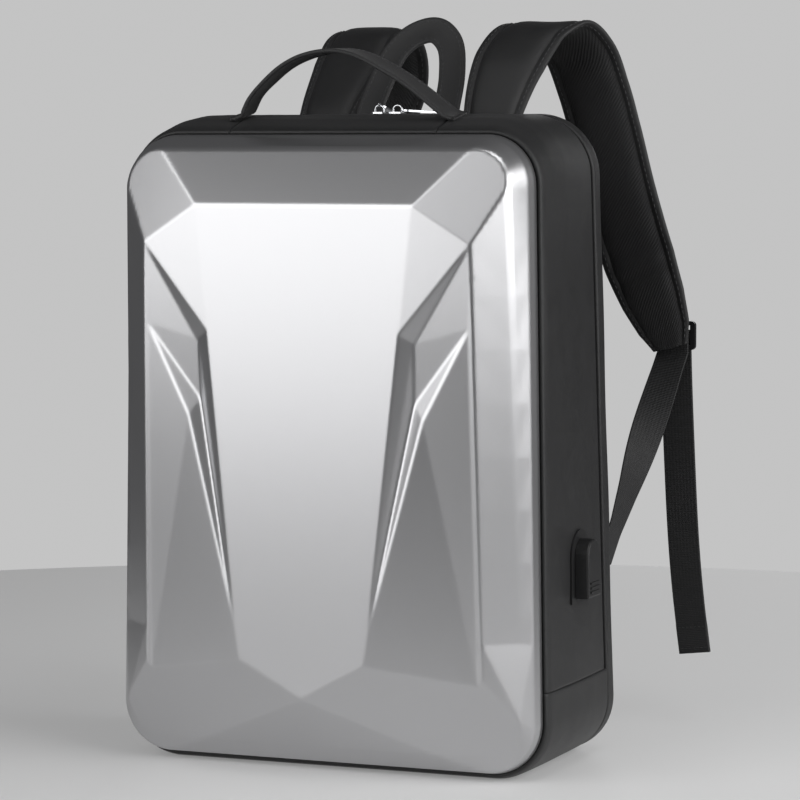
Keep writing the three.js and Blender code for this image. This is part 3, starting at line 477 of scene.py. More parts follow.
# Columns: share of the way back to the zip, and shares of the side bulge, top rise and bottom drop.
SKIN = np.array([
    (0, 0, 0, 0), (0.022, 0.4, 0.13, 0.55), (0.06, 0.68, 0.27, 1), (0.25, 0.9, 0.72, 1),
    (0.46, 1, 0.94, 1), (0.75, 0.8, 1, 1), (1, 0.4, 1, 1)])


def skin(share, inset=0.0):
    bulge, rise, drop = interpolate(share, SKIN[:, 0], SKIN[:, 1:])
    return SIDE_BULGE * bulge - inset, TOP_RISE * rise - inset, RIM_LIFT * drop - inset


# The facets' corners, as shares of half the width, of the height and of the depth.
CORNERS = {name: np.array(shares) * (RIM_WIDTH / 2, RIM_HEIGHT, SHELL_DEPTH) + (0, RIM_LIFT, 0)
           for name, shares in {
    "panel_top": (0.524, 0.887, 0.932), "ridge_top": (0.791, 0.828, 0.872),
    "slot_knee": (0.465, 0.69, 0.949), "slot_foot": (0.524, 0.676, 0.846),
    "slot_turn": (0.519, 0.583, 0.792), "blade_top": (0.781, 0.701, 0.825),
    "blade_turn": (0.568, 0.558, 0.877), "slot_tip": (0.324, 0.229, 0.99),
    "panel_foot": (0.301, 0.177, 0.995), "ridge_foot": (0.822, 0.162, 0.663),
    "step_foot": (0.803, 0.15, 0.64), "chin": (0, 0.121, 1)}.items()}


def plane(a, b, c):
    normal = np.cross(b - a, c - a)
    return lambda x, z: a[2] - (normal[0] * (x - a[0]) + normal[1] * (z - a[1])) / normal[2]


# Points on the rim's straight side, as shares of it. The fourth is level with the ridge's top.
SIDE_STOPS = [0.02, 0.05, 0.08, 0.1064, 0.2, 0.3, 0.4, 0.5, 0.6, 0.7, 0.8, 0.85]

# The field of the shell's reach: its lowest z, its highest x and z, its pitch, and the width of
# the blur that softens the creases.
FIELD_FLOOR = -8
FIELD_SIZE = (172, 472)
FIELD_PITCH = 0.5
CREASE_BLUR = 1.0


def facet_field():
    """Functions of x and z for the shell's reach and its slopes, with softened creases."""
    c = CORNERS
    pitch = FIELD_PITCH
    widths = (-SHELL_INSET - EDGE_WIDTH, -SHELL_INSET - EDGE_WIDTH, -SHELL_INSET - EDGE_DROP)
    lip = -SHELL_INSET - LIP_DRAFT
    far = 10
    runs = []
    for offsets in (widths, (lip,) * 3, (lip + far,) * 3):
        upper, lower = half_outline(*offsets)
        side = upper[-1] + (lower[0] - upper[-1]) * np.array(SIDE_STOPS)[:, None]
        runs.append(join([upper[:1] * [0, 1], upper, side,
                          lower, lower[-1:] * [0.7, 1], lower[-1:] * [0, 1]]))
    boundary, edge, beyond = runs
    first_side = ARC + 2
    last_side = first_side + len(SIDE_STOPS) - 1
    top_plane = plane(c["panel_top"], c["ridge_top"],
                      np.array([boundary[1][0], boundary[1][1], TOP_EDGE_AHEAD * SHELL_DEPTH]))
    low_plane = plane(c["panel_foot"], c["chin"], c["ridge_foot"])
    corner_end = np.append(boundary[first_side - 1], top_plane(*boundary[first_side - 1]))

    def crease(z):
        """The inner edge of the side's bevel: the ridge, and above it the crease to the corner."""
        low, high = ((c["ridge_foot"], c["ridge_top"]) if z <= c["ridge_top"][1]
                     else (c["ridge_top"], corner_end))
        return low + (high - low) * (z - low[1]) / (high[1] - low[1])

    foot_x, foot_z = boundary[last_side]
    ridge = crease(foot_z)
    share = (foot_x - ridge[0]) / (side_x(foot_z) - SHELL_INSET - LIP_DRAFT - ridge[0])
    foot_reach = ridge[2] + share * (LIP_DEPTH - ridge[2])
    reach = [top_plane(*p) for p in boundary[:first_side]]
    reach += [np.interp(z, [foot_z, corner_end[1]], [foot_reach, corner_end[2]])
              for _, z in boundary[first_side:last_side + 1]]
    reach += [low_plane(*p) for p in boundary[last_side + 1:]]
    reach[0], reach[-1] = reach[1], reach[-2]
    reach = np.array(reach)
    rim = [np.append(p, r) for p, r in zip(boundary, reach)]
    slope = (reach - LIP_DEPTH) / np.maximum(np.linalg.norm(boundary - edge, axis=1), 1)
    away = np.linalg.norm(beyond - edge, axis=1)
    lip_rim = [np.append(p, LIP_DEPTH) for p in edge]
    far_rim = [np.append(p, LIP_DEPTH - s * a) for p, s, a in zip(beyond, slope, away)]
    mid_top = np.array([0, c["panel_top"][1], c["panel_top"][2]])
    names = lambda keys: [c[key] for key in keys.split()]
    facets = [
        [mid_top, c["panel_top"], rim[1], rim[0]],
        names("panel_top ridge_top") + rim[1:first_side][::-1],
        [crease(foot_z), c["ridge_foot"], rim[last_side + 1], rim[last_side]],
        names("panel_foot step_foot ridge_foot") + rim[last_side + 1:-1] + [c["chin"]],
        [c["chin"], rim[-2], rim[-1]],
        names("panel_top ridge_top slot_knee"),
        names("ridge_top slot_foot slot_knee"),
        names("slot_knee slot_foot slot_turn slot_tip"),
        names("ridge_top blade_top slot_turn slot_foot"),
        names("blade_top blade_turn slot_tip slot_turn"),
        names("blade_top step_foot panel_foot slot_tip blade_turn"),
        names("ridge_top ridge_foot step_foot blade_top"),
        [mid_top] + names("panel_top slot_knee slot_tip panel_foot chin"),
    ]
    facets += [[crease(boundary[i][1]), crease(boundary[i + 1][1]), rim[i + 1], rim[i]]
               for i in range(first_side - 1, last_side)]
    for a, b in ((rim, lip_rim), (lip_rim, far_rim)):
        facets += [[a[i], a[i + 1], b[i + 1], b[i]] for i in range(len(a) - 1)]
    xs = np.arange(0, FIELD_SIZE[0], pitch)
    zs = np.arange(FIELD_FLOOR, FIELD_SIZE[1], pitch)
    field = np.full((len(xs), len(zs)), np.nan)
    for facet in facets:
        flat = [Vector((p[0], p[1], 0)) for p in facet]
        for tri in tessellate_polygon([flat]):
            p = np.array([facet[k] for k in tri])
            places = (p[:, :2] - [0, FIELD_FLOOR]) / pitch
            low = np.maximum(np.floor(places.min(0)).astype(int), 0)
            high = np.ceil(places.max(0)).astype(int) + 1
            gx, gz = np.meshgrid(xs[low[0]:high[0]], zs[low[1]:high[1]], indexing="ij")
            (x1, z1), (x2, z2), (x3, z3) = p[:, :2]
            area = (x2 - x1) * (z3 - z1) - (x3 - x1) * (z2 - z1)
            if abs(area) < 1e-6 or gx.size == 0:
                continue
            w2 = ((gx - x1) * (z3 - z1) - (x3 - x1) * (gz - z1)) / area
            w3 = ((x2 - x1) * (gz - z1) - (gx - x1) * (z2 - z1)) / area
            w1 = 1 - w2 - w3
            hit = np.minimum(w1, np.minimum(w2, w3)) > -1e-4
            value = w1 * p[0, 2] + w2 * p[1, 2] + w3 * p[2, 2]
            block = field[low[0]:high[0], low[1]:high[1]]
            block[hit] = value[hit]
    whole = join([field[:0:-1], field])
    known = ~np.isnan(whole)
    filled = np.where(known, whole, 0)
    span = math.ceil(3 * CREASE_BLUR / pitch)
    kernel = np.exp(-0.5 * (np.arange(-span, span + 1) * pitch / CREASE_BLUR) ** 2)
    smooth = lambda image: np.apply_along_axis(
        np.convolve, 1, np.apply_along_axis(np.convolve, 0, image, kernel, "same"), kernel, "same")
    result = smooth(filled) / np.maximum(smooth(known.astype(float)), 1e-6)
    x_axis = join([-xs[:0:-1], xs])

    def sample(grid, x, z):
        fx = np.clip((x - x_axis[0]) / pitch, 0, len(x_axis) - 1.001)
        fz = np.clip((z - FIELD_FLOOR) / pitch, 0, len(zs) - 1.001)
        ix, iz = fx.astype(int), fz.astype(int)
        tx, tz = fx - ix, fz - iz
        return (grid[ix, iz] * (1 - tx) * (1 - tz) + grid[ix + 1, iz] * tx * (1 - tz)
                + grid[ix, iz + 1] * (1 - tx) * tz + grid[ix + 1, iz + 1] * tx * tz)

    slope_x, slope_z = np.gradient(result, pitch)
    slopes = lambda x, z: (sample(slope_x, x, z), sample(slope_z, x, z))
    return (lambda x, z: sample(result, x, z)), slopes


# The rounding where the shell's front turns into its lip.
FILLET = 1.1


def make_shell():
    height, slopes = facet_field()
    edge = -SHELL_INSET - LIP_DRAFT - FILLET
    top_count, side_count, bottom_count = 200, 330, 220
    ring = ring_outline((edge,) * 3, top_count, side_count, bottom_count)
    # The grid's corners, each in the middle of an arc, and the runs between them.
    half = ARC // 2
    upper_right = half
    lower_right = ARC + side_count + half
    lower_left = lower_right + bottom_count + 2 * (ARC - half)
    upper_left = lower_left + lower_right - upper_right
    top = join([ring[upper_left:], ring[:upper_right + 1]])
    right = ring[upper_right:lower_right + 1][::-1]
    left = ring[lower_left:upper_left + 1]
    n, m = len(top), len(right)
    bottom = resample(ring[lower_right:lower_left + 1][::-1], np.linspace(0, 1, n))
    u, v, spread = between_corners(n, m, bottom[0], bottom[-1], top[0], top[-1])
    flat = ((1 - v) * bottom[:, None] + v * top[:, None]
            + (1 - u) * left[None] + u * right[None] - spread)
    gx, gz = slopes(flat[..., 0], flat[..., 1])
    normals = unit(np.stack([-gx, -np.ones_like(gx), -gz], -1)).reshape(-1, 3)
    reach = height(flat[..., 0], flat[..., 1])
    points = stand(flat, RIM_Y - reach)
    groups = [quads(points)[0]]
    points = points.reshape(-1, 3)
    # Round the grid's rim run the loops of the rounded edge, the lip and its return.
    rim = grid_rim(n, m)
    rim_flat = points[rim][:, [0, 2]]
    run = unit(np.roll(rim_flat, -1, axis=0) - np.roll(rim_flat, 1, axis=0))
    inward = np.stack([run[:, 1], -run[:, 0]], 1)
    near = RIM_Y - points[rim][:, 1]
    loops = []
    for t in (0.3, 0.6, 0.85, 1):
        c0, c1, c2 = (1 - t) ** 2, 2 * t * (1 - t), t ** 2
        ahead = c0 * near + c1 * LIP_DEPTH + c2 * (LIP_DEPTH - 1.7)
        loops.append((FILLET - c0 * FILLET + c2 * 0.3, ahead))
    foot = FILLET + LIP_DRAFT
    loops += [(foot - LIP_DRAFT * 0.4, LIP_DEPTH * 0.4),
              (foot, 0.3), (foot - 0.2, 0), (foot - 4, 0)]
    previous = rim
    for out, ahead in loops:
        current = len(points) + np.arange(len(rim))
        points = join([points, stand(rim_flat - inward * out, RIM_Y - ahead)])
        groups.append(ribbon(previous, current))
        previous = current
    normals = join([normals, np.zeros((len(points) - len(normals), 3))])
    normals[rim] = 0
    centre = np.array([0, RIM_Y + 60, 230])
    faces = join([turned_out(points, group, centre) for group in groups])
    uv = points[faces][..., [0, 2]]
    shell = add_piece("shell_faceted", points, faces, ["shell"], uv,
                      normals=normals)
    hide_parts("shell")


def wrinkle(points):
    x, y, z = points[..., 0], points[..., 1], points[..., 2]
    return (0.28 * np.sin(x / 31 + 1.3 + np.sin(z / 47)) * np.sin(y / 19 + 0.4 + np.sin(z / 61))
            + 0.22 * np.sin(z / 24 + 0.8 + 1.2 * np.sin(y / 33 + x / 90)))


def grid_normals(points, inside):
    du = np.gradient(points, axis=0)
    dv = np.gradient(points, axis=1)
    normal = unit(np.cross(du, dv))
    facing = np.sum(normal * (points - np.asarray(inside, float)), axis=-1, keepdims=True)
    return normal * np.where(np.mean(facing) < 0, -1, 1)


BODY_CENTRE = (0, -20, 230)
BAND_CENTRE = (0, 20, 230)


def panel(name, node, part, rear=zip_front):
    """A fabric panel of the body, rolled in along its seams, the groove and its rear edge."""
    depth_shares = graded(100, 3.2) / 100
    rows = [part(skin(share)) for share in depth_shares]
    run = graded(lengths(rows[0])[-1], 3.6)
    grid = []
    for share, row in zip(depth_shares, rows):
        flat = resample(row, run)
        y = RIM_Y + GROOVE + share * (rear(flat[:, 1]) - RIM_Y - GROOVE)
        grid.append(stand(flat, y))
    points = np.array(grid).transpose(1, 0, 2)
    normal = grid_normals(points, BODY_CENTRE)
    along = lengths(points[:, len(depth_shares) // 2])
    across = lengths(points[len(run) // 2])
    seam = np.minimum(along, along[-1] - along)[:, None]
    edge = np.minimum(across, across[-1] - across)[None]
    roll = lambda d, r, depth: depth * (1 - np.sqrt(1 - (1 - np.clip(d / r, 0, 1)) ** 2))
    sink = roll(seam, 2.2, 1.2) + roll(edge, 2.0, 1.6)
    calm = np.minimum(ease(seam / 12), ease(edge / 12))
    points = points - normal * (sink - wrinkle(points) * calm)[..., None]
    points[..., 2] = np.maximum(points[..., 2], 0)
    inner = points - normal * 4
    points = join([inner[:1], points, inner[-1:]])
    wide = join([inner[:1], inner, inner[-1:]])
    points = join([wide[:, :1], points, wide[:, -1:]], axis=1)
    piece = sheet(name, points, "fabric", BODY_CENTRE)
    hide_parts(node)


def make_body():
    def side(offsets):
        upper, lower = half_outline(*offsets)
        return join([[[SEAM_X, upper[0][1]]], upper, [side_point(upper, lower, SEAM_Z)]])

    def base(offsets):
        upper, lower = half_outline(*offsets)
        half = join([[side_point(upper, lower, SEAM_Z)], lower])
        return join([half, (half * FLIP)[::-1]])

    def top(offsets):
        upper, _ = half_outline(*offsets)
        return np.array([[-SEAM_X, upper[0][1]], [SEAM_X, upper[0][1]]])

    panel("side_panel_right_sewn", "side_panel_right", side)
    panel("side_panel_left_sewn", "side_panel_left", lambda offsets: side(offsets) * FLIP)
    panel("base_panel_sewn", "base_panel", base, lambda z: zip_front(z) + ZIP_WIDTH - GAP)
    panel("top_panel_sewn", "top_panel", top)


def make_band():
    """The band behind the zip, rounded over onto the back."""
    profile = [(4, BAND_DEPTH - 0.2), (1.6, BAND_DEPTH - 0.1), (0.5, BAND_DEPTH - 0.5),
               (0, BAND_DEPTH - 1.6), (0, BAND_DEPTH - 4), (0, 14), (0, BAND_RADIUS)]
    for turn in np.radians(np.arange(10, 91, 10)):
        profile.append((BAND_RADIUS * (1 - math.cos(turn)), BAND_RADIUS * (1 - math.sin(turn))))
    profile += [(BAND_FACE - 1.5, 0), (BAND_FACE - 0.5, 0.4), (BAND_FACE, 1.4), (BAND_FACE, 4)]
    grid = []
    for inset, ahead in profile:
        flat = ring_outline(skin(1, inset), top=70, sides=110, bottom=80)
        grid.append(stand(flat, back_y(flat[:, 1]) - ahead))
    points = np.array(grid)
    calm = np.interp(np.arange(len(profile)), [0, 4, 6, 14, len(profile)], [0, 0.3, 1, 0.3, 0])
    normal = grid_normals(points, BAND_CENTRE)
    points = points + normal * (wrinkle(points) * calm[:, None])[..., None]
    points[..., 2] = np.maximum(points[..., 2], 0)
    piece = sheet("rear_band_sewn", points, "fabric", BAND_CENTRE, closed=True)
    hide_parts("rear_band")


# Along one side of the zip.
TOOTH_PITCH = 1.9


def zip_path(offsets):
    """The zip's course from seam to seam over the top."""
    upper, lower = half_outline(*offsets)
    half = join([upper, [side_point(upper, lower, SEAM_Z + 1)]])
    return join([(half * FLIP)[::-1], half])


def make_zip():
    """The woven tape between body and band, and its two rows of teeth."""
    total = lengths(zip_path(skin(1, 2)))[-1]
    run = np.linspace(0, total, int(total / 4))
    profile = [(5, -4), (3.6, -3.8), (3.4, -1), (3.1, 0.6), (2.7, 1.6), (2.6, 2.9), (3.0, 3.0),
               (2.6, 3.1), (2.7, 4.4), (3.1, 5.4), (3.4, 7), (3.6, 9.8), (5, 10)]
    grid = []
    for inset, ahead in profile:
        flat = resample(zip_path(skin(1, inset)), run)
        grid.append(stand(flat, zip_front(flat[:, 1]) + ahead))
    tape = sheet("zip_tape_woven", np.array(grid), "tape", BAND_CENTRE)
    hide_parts("zip_tape")
    count = int(total / TOOTH_PITCH)
    flat = resample(zip_path(skin(1, 2.7)), np.linspace(0, total, 2 * count + 1))
    ways = unit(np.gradient(flat, axis=0))
    outer = np.stack([-ways[:, 1], ways[:, 0]], 1)
    points, faces = [], []
    for k in range(2 * count - 1):
        along = unit(flat[k + 1] - flat[k])
        side = 1 if k % 2 else -1
        root = zip_front(flat[k][1]) + ZIP_WIDTH / 2 + side * 0.35
        base = len(points)
        for y, tall in ((root - side * 0.9, 1.1), (root + side * 2.0, 0.7)):
            for share in (-0.42, 0.42):
                for lift in (-0.3, tall):
                    p = flat[k] + along * share * TOOTH_PITCH * 0.62 + outer[k] * lift
                    points.append([p[0], y, p[1]])
        faces += [[base + a for a in quad] for quad in (
            (0, 1, 3, 2), (4, 6, 7, 5), (0, 4, 5, 1), (2, 3, 7, 6), (1, 5, 7, 3), (0, 2, 6, 4))]
    add_piece("zip_teeth_rows", points, faces, ["teeth"])


def cushion(x0, z0, width, height):
    """A grid of points over one cushion of the back, crowned and drawn in at its sides."""
    turns = np.sin(np.linspace(-1, 1, 34) * math.pi / 2)
    u, v = np.meshgrid(turns, turns, indexing="ij")
    x, z = u * width / 2, v * height / 2
    edge = np.minimum(width / 2 - np.abs(x), height / 2 - np.abs(z))
    round_off = np.clip(edge / 14, 0, 1)
    over_x = np.maximum(np.abs(x) - (width / 2 - PAD_CORNER), 0)
    over_z = np.maximum(np.abs(z) - (height / 2 - PAD_CORNER), 0)
    far = np.hypot(over_x, over_z)
    squeeze = np.where(far > 1e-6, np.maximum(over_x, over_z) / np.maximum(far, 1e-6), 1)
    x = np.sign(x) * (np.abs(x) - over_x + over_x * squeeze)
    z = np.sign(z) * (np.abs(z) - over_z + over_z * squeeze)
    pull = 1.2 * np.cos(v * math.pi / 2) * np.sign(u) * (np.abs(u) > 0.9)
    crown = (1 - (1 - round_off) ** 2.4) * (0.86 + 0.14 * np.cos(u * 1.5) * np.cos(v * 1.5))
    uneven = 0.25 * np.sin(x / 13 + z0) * np.sin(z / 17 + x0) * round_off
    proud = 0.1 + PAD_CROWN * crown + uneven
    return np.stack([x0 + x - pull, back_y(z0 + z) + proud, z0 + z], -1)


def make_back():
    width = (PADS_WIDTH - PAD_GAP) / 2
    height = (PADS_HIGH - PADS_LOW - 2 * PAD_GAP) / 3
    for column, side in ((-0.5, "left"), (0.5, "right")):
        for row in range(3):
            x = column * (width + PAD_GAP)
            z = PADS_LOW + height / 2 + row * (height + PAD_GAP)
            front = cushion(x, z, width, height)
            faces, uv = outward(front, *quads(front), inside=(0, 0, z))
            rim = grid_rim(*front.shape[:2])
            points = front.reshape(-1, 3)
            foot = points[rim]
            foot[:, 1] = back_y(foot[:, 2]) - 1.2
            low = len(points) + np.arange(len(rim))
            points = join([points, foot])
            wall = turned_out(points, ribbon(rim, low), np.array([x, float(back_y(z)), z]))
            base = end_face(points, low, -1)
            all_faces = faces.tolist() + wall.tolist() + [base.tolist()]
            all_uv = corner_uv(uv, points[wall][..., [0, 2]], points[base][:, [0, 2]])
            name = f"back_pad_{side}_{row + 1}"
            pad = add_piece(name, points, all_faces, ["air"], all_uv)
    # The plate under the pads, with its edge tucked under the band. Columns: inset, reach behind.
    grid = []
    middle = np.array([0, 235])
    for inset, behind in ((BAND_FACE + 0.3, -3.4), (BAND_FACE + 0.6, -0.8), (BAND_FACE + 2, -0.1),
                          (BAND_FACE + 6, 0), (40, 0), (70, 0), (100, 0), (130, 0)):
        flat = ring_outline(skin(1, min(inset, 40)), top=60, sides=100, bottom=64)
        if inset > 40:
            flat = middle + (flat - middle) * (1 - (inset - 40) / 92)
        grid.append(stand(flat, back_y(flat[:, 1]) + behind))
    points = np.array(grid)
    faces, _ = outward(points, *quads(points, closed=True), inside=(0, 0, 230))
    count = points.shape[1]
    points = points.reshape(-1, 3)
    end = end_face(points, len(points) - count + np.arange(count), 1)
    all_uv = corner_uv(points[faces][..., [0, 2]], points[end][:, [0, 2]])
    all_faces = faces.tolist() + [end.tolist()]
    plate = add_piece("back_plate_sewn", points, all_faces, ["air"], all_uv)
    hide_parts("back_panel")


def strap_section(width, thickness):
    """The ring round the padded strap: a crowned pad between two bound edges."""
    u = np.array([1, 0.99, 0.965, 0.93, 0.86, 0.79, 0.765, 0.745, 0.72, 0.66, 0.56, 0.42, 0.22, 0])
    v = np.array([0.06, 0.2, 0.31, 0.38, 0.42, 0.4, 0.33, 0.33, 0.42, 0.64, 0.83, 0.94, 0.99, 1])
    top = np.stack([join([u, -u[-2::-1]]), join([v, v[-2::-1]])], 1)
    return join([top, top * [-1, -0.97]]) * [width / 2, thickness / 2]


# Columns: shares of the spread, of the reach behind the back, of the height, width and thickness.
STRAP = [
    (0, 0, 0, 0.73, 0.7), (0, 0.005, 0.09, 0.73, 0.8), (0, 0.065, 0.19, 0.78, 1),
    (0.07, 0.2, 0.347, 0.98, 1), (0.175, 0.37, 0.438, 1, 1), (0.3, 0.56, 0.448, 1, 1),
    (0.405, 0.7, 0.381, 0.98, 1), (0.48, 0.785, 0.268, 0.96, 1), (0.55, 0.83, 0.143, 0.95, 1),
    (0.655, 0.875, -0.067, 0.97, 1), (0.788, 0.92, -0.276, 0.97, 1),
    (0.885, 0.95, -0.397, 0.87, 1), (0.96, 0.98, -0.49, 0.7, 0.9), (1, 1, -0.552, 0.46, 0.6)]
# The course of the left strap, which leans inwards over its arch and passes behind the grab loop.
LEANING = [
    (0, 0, 0), (0, 0.01, 0.09), (0, 0.13, 0.19), (-0.045, 0.375, 0.335), (-0.07, 0.565, 0.425),
    (-0.1, 0.76, 0.448), (-0.13, 0.92, 0.4), (-0.1, 1.03, 0.3), (0.05, 1.06, 0.15),
    (0.36, 1.04, -0.08), (0.66, 1.03, -0.28), (0.83, 1.02, -0.397), (0.94, 1.01, -0.49),
    (1, 1, -0.552)]
STRAP_ROOT = np.array([STRAP_OFFSET, 0, TOP_Z - STRAP_DROP], float)
STRAP_ROOT[1] = back_y(STRAP_ROOT[2]) + GAP + STRAP_THICKNESS * STRAP[0][4] / 2
STRAP_TIP = STRAP_ROOT + np.array(STRAP[-1][:3]) * STRAP_SPAN


def make_straps():
    shares = np.linspace(0, 1, 151)
    sizes = blend_rows(np.array(STRAP)[:, 3:], shares)
    sections = np.array([strap_section(STRAP_WIDTH * w, STRAP_THICKNESS * t) for w, t in sizes])
    count = sections.shape[1]
    half = count // 2
    # Binding at both edges, fabric on the face away from the wearer and mesh on the other.
    at = np.arange(count)
    bound = (at % half < 7) | (at % half >= half - 8)
    parts = np.where(bound, 0, np.where(at < half, 1, 2))
    # Soft unevenness of the foam, and two short creases behind the arch.
    wobble = 0.35 * np.sin(shares * 41 + 0.7) + 0.25 * np.sin(shares * 77 + 2)
    middle = np.exp(-(np.linspace(-1, 1, half) / 0.55) ** 2)
    sections[:, :half, 1] += wobble[:, None] * middle
    sections[:, half:, 1] -= 0.7 * wobble[::-1][:, None] * middle
    for place, depth in ((0.757, 2.2), (0.796, 1.9)):
        dent = depth * np.exp(-((shares - place) / 0.010) ** 2)
        sections[:, half:, 1] += dent[:, None] * middle
    across = np.tile([1.0, 0, 0], (len(shares), 1))
    runs = []
    straight = np.array(STRAP)[:, :3]
    for side, label, course in ((1, "right", straight), (-1, "left", np.array(LEANING))):
        centres = catmull(STRAP_ROOT + course * STRAP_SPAN, shares)
        piece, ring, _, out = sweep(f"shoulder_strap_{label}", centres, across, sections,
                                    ["binding", "fabric", "mesh"], parts, side)
        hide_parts(f"strap_{label}")
        for k, sign in ((4, 1), (half - 5, 1), (half + 4, -1), (count - 5, -1)):
            runs.append((ring[3:-3, k], sign * out[3:-3]))
    stitches("strap_stitches", runs, pitch=4.6, length=3.0, width=0.8)


def flat_section(width, thickness, edge=1.2, ridge=0.0):
    half_w, half_t = width / 2, thickness / 2
    top = [(half_w, 0.25 * half_t), (half_w - 0.25 * edge, 0.8 * half_t), (half_w - edge, half_t),
           (half_w - 2.2 * edge, half_t), (half_w - 2.8 * edge, half_t - ridge), (0, half_t)]
    top += [(-u, v) for u, v in top[-2::-1]]
    return np.array(top + [(-u, -v) for u, v in top])


def make_strip(name, stitch_name, centres, across, width, ridge, ends):
    """A sewn strip, with stitches beside its edges that keep clear of its ends."""
    sections = np.tile(flat_section(width, STRIP_THICKNESS, ridge=ridge), (len(centres), 1, 1))
    piece, ring, _, out = sweep(name, centres, across, sections, ["strip"])
    stitches(stitch_name, [(ring[ends:-ends, k], sign * out[ends:-ends])
                           for k, sign in ((4, 1), (6, 1), (15, -1), (17, -1))])
    return piece


# Columns: shares of the half span and of the rise, and the tilt across, in tenths of the slope.
HANDLE = [
    (-0.985, 0.03, 10), (-0.9, 0.3, 8), (-0.76, 0.54, 4), (-0.6, 0.755, 2), (-0.43, 0.895, 0),
    (-0.26, 0.97, 0), (-0.09, 1, 2), (0.08, 0.96, 4), (0.22, 0.875, 6), (0.36, 0.755, 8),
    (0.52, 0.605, 8), (0.7, 0.4, 8), (0.84, 0.22, 9), (0.985, 0.03, 10)]
# Columns: shares of the half span, of the height and of the reach behind the back.
LOOP = [
    (-1, 0, 0), (-1, 0.2, 0.02), (-0.98, 0.36, 0.16), (-0.88, 0.62, 0.55), (-0.66, 0.85, 0.85),
    (-0.25, 0.97, 0.98), (0.25, 1, 1), (0.66, 0.9, 0.9), (0.9, 0.66, 0.6), (0.99, 0.38, 0.18),
    (1, 0.2, 0.02), (1, 0, 0)]


def skin_top(y):
    share = (y - RIM_Y) / (float(zip_front(TOP_Z)) - RIM_Y)
    return RIM_LIFT + RIM_HEIGHT + TOP_RISE * np.interp(share, SKIN[:, 0], SKIN[:, 2])


def make_handle():
    y = RIM_Y + HANDLE_SETBACK
    front, rear = (skin_top(y + s * HANDLE_WIDTH / 2) for s in (-1, 1))
    seat = max(skin_top(y), (front + rear) / 2) + GAP + STRIP_THICKNESS / 2
    rows = np.array(HANDLE)
    shares = np.linspace(0, 1, 89)
    centres = catmull(np.stack([rows[:, 0] * HANDLE_SPAN / 2, np.full(len(rows), y),
                                seat + rows[:, 1] * HANDLE_RISE], 1), shares)
    feet = np.array([[-87, y, seat - 0.5], [-83.5, y, seat - 0.4]])
    centres = join([feet, centres, feet[::-1] * [-1, 1, 1]])
    tilt = join([[10, 10], blend_rows(rows[:, 2:], shares)[:, 0], [10, 10]])
    slope = (rear - front) / HANDLE_WIDTH
    across = np.stack([0 * tilt, 0 * tilt + 1, slope * tilt / 10], 1)
    piece = make_strip("top_handle_sewn", "handle_stitches", centres, across, HANDLE_WIDTH, 0.35, 4)
    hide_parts("top_handle")


def make_grab_loop():
    root_z = TOP_Z - LOOP_DROP
    seat = float(back_y(root_z)) + GAP + STRIP_THICKNESS / 2
    rows = np.array(LOOP)
    centres = catmull(np.stack([rows[:, 0] * LOOP_SPAN / 2, seat + rows[:, 2] * LOOP_REACH,
                                root_z + rows[:, 1] * LOOP_HEIGHT], 1), np.linspace(0, 1, 97))
    lean = np.arctan2(np.maximum(0, centres[:, 1] - seat), centres[:, 2] - root_z + 1)
    facing = np.stack([0 * lean, np.cos(lean), -np.sin(lean)], 1)
    across = np.cross(facing, unit(np.gradient(centres, axis=0)))
    piece = make_strip("grab_loop_sewn", "loop_stitches", centres, across, LOOP_WIDTH, 0.3, 2)
    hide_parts("grab_loop")


# The webbing's direction across at shares of its way from the tab to the buckle.
TWIST = [
    (0, (0, 0.9, -0.44)), (0.14, (0, 0.9, -0.44)), (0.32, (0.25, 0.85, -0.36)),
    (0.52, (0.6, 0.6, -0.2)), (0.74, (0.9, 0.25, -0.05)), (0.92, (1, 0, 0)), (1, (1, 0, 0))]
BUCKLE = STRAP_TIP + [0, 10, 9]
TAB_X = side_x(TAB_HEIGHT) - TAB_INSET


def make_webbing():
    """The webbing from its tab up to the buckle, round the bar and down to its doubled end."""
    shares = np.linspace(0, 1, 40)
    tab_top = TAB_HEIGHT + TAB_HALF
    start = np.array([TAB_X + sum(TAB_SWELL) + GAP + WEB_THICKNESS / 2,
                      float(back_y(tab_top)) + GAP + TAB_SPAN / 2, tab_top - WEB_SEWN])
    front = BUCKLE + [0, -WEB_TURN, -WEB_ENTRY]
    rise = start + (front - start) * shares[:, None]
    turn = np.linspace(0, math.pi, 13)
    bend = BUCKLE + WEB_TURN * np.stack([0 * turn, -np.cos(turn), np.sin(turn)], 1)
    hang = np.linspace(0.03, 1, 60)
    sway = 12 * hang ** 2 + 0.9 * np.sin(hang * 7) * hang
    tail = BUCKLE + [0, WEB_TURN, 0] + np.stack([sway, 14 * hang, -TAIL_LENGTH * hang], 1)
    centres = join([rise, bend, tail])
    keys, ways = zip(*TWIST)
    twist = interpolate(shares, keys, ways)
    across = join([twist, np.tile([1.0, 0, 0], (len(bend) + len(tail), 1))])
    thick = np.full(len(centres), WEB_THICKNESS)
    thick[-6:] *= 2
    sections = np.array([flat_section(WEB_WIDTH, t, edge=0.7) for t in thick])
    hem_runs = []
    for side, label in ((1, "right"), (-1, "left")):
        piece, _, cross, out = sweep(f"adjuster_webbing_{label}", centres, across, sections,
                                     ["webbing"], mirror=side)
        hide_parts(f"webbing_{label}")
        for index in (-6, -2):
            for normal in (out[index], -out[index]):
                middle = centres[index] * [side, 1, 1] + normal * WEB_THICKNESS
                path = middle + cross[index] * np.linspace(-11, 11, 8)[:, None]
                hem_runs.append((path, np.tile(normal, (8, 1))))
    stitches("hem_stitches", hem_runs, pitch=2.8, length=1.9, height=0.35)
    for side, label in ((1, "right"), (-1, "left")):
        make_tab(side, label)


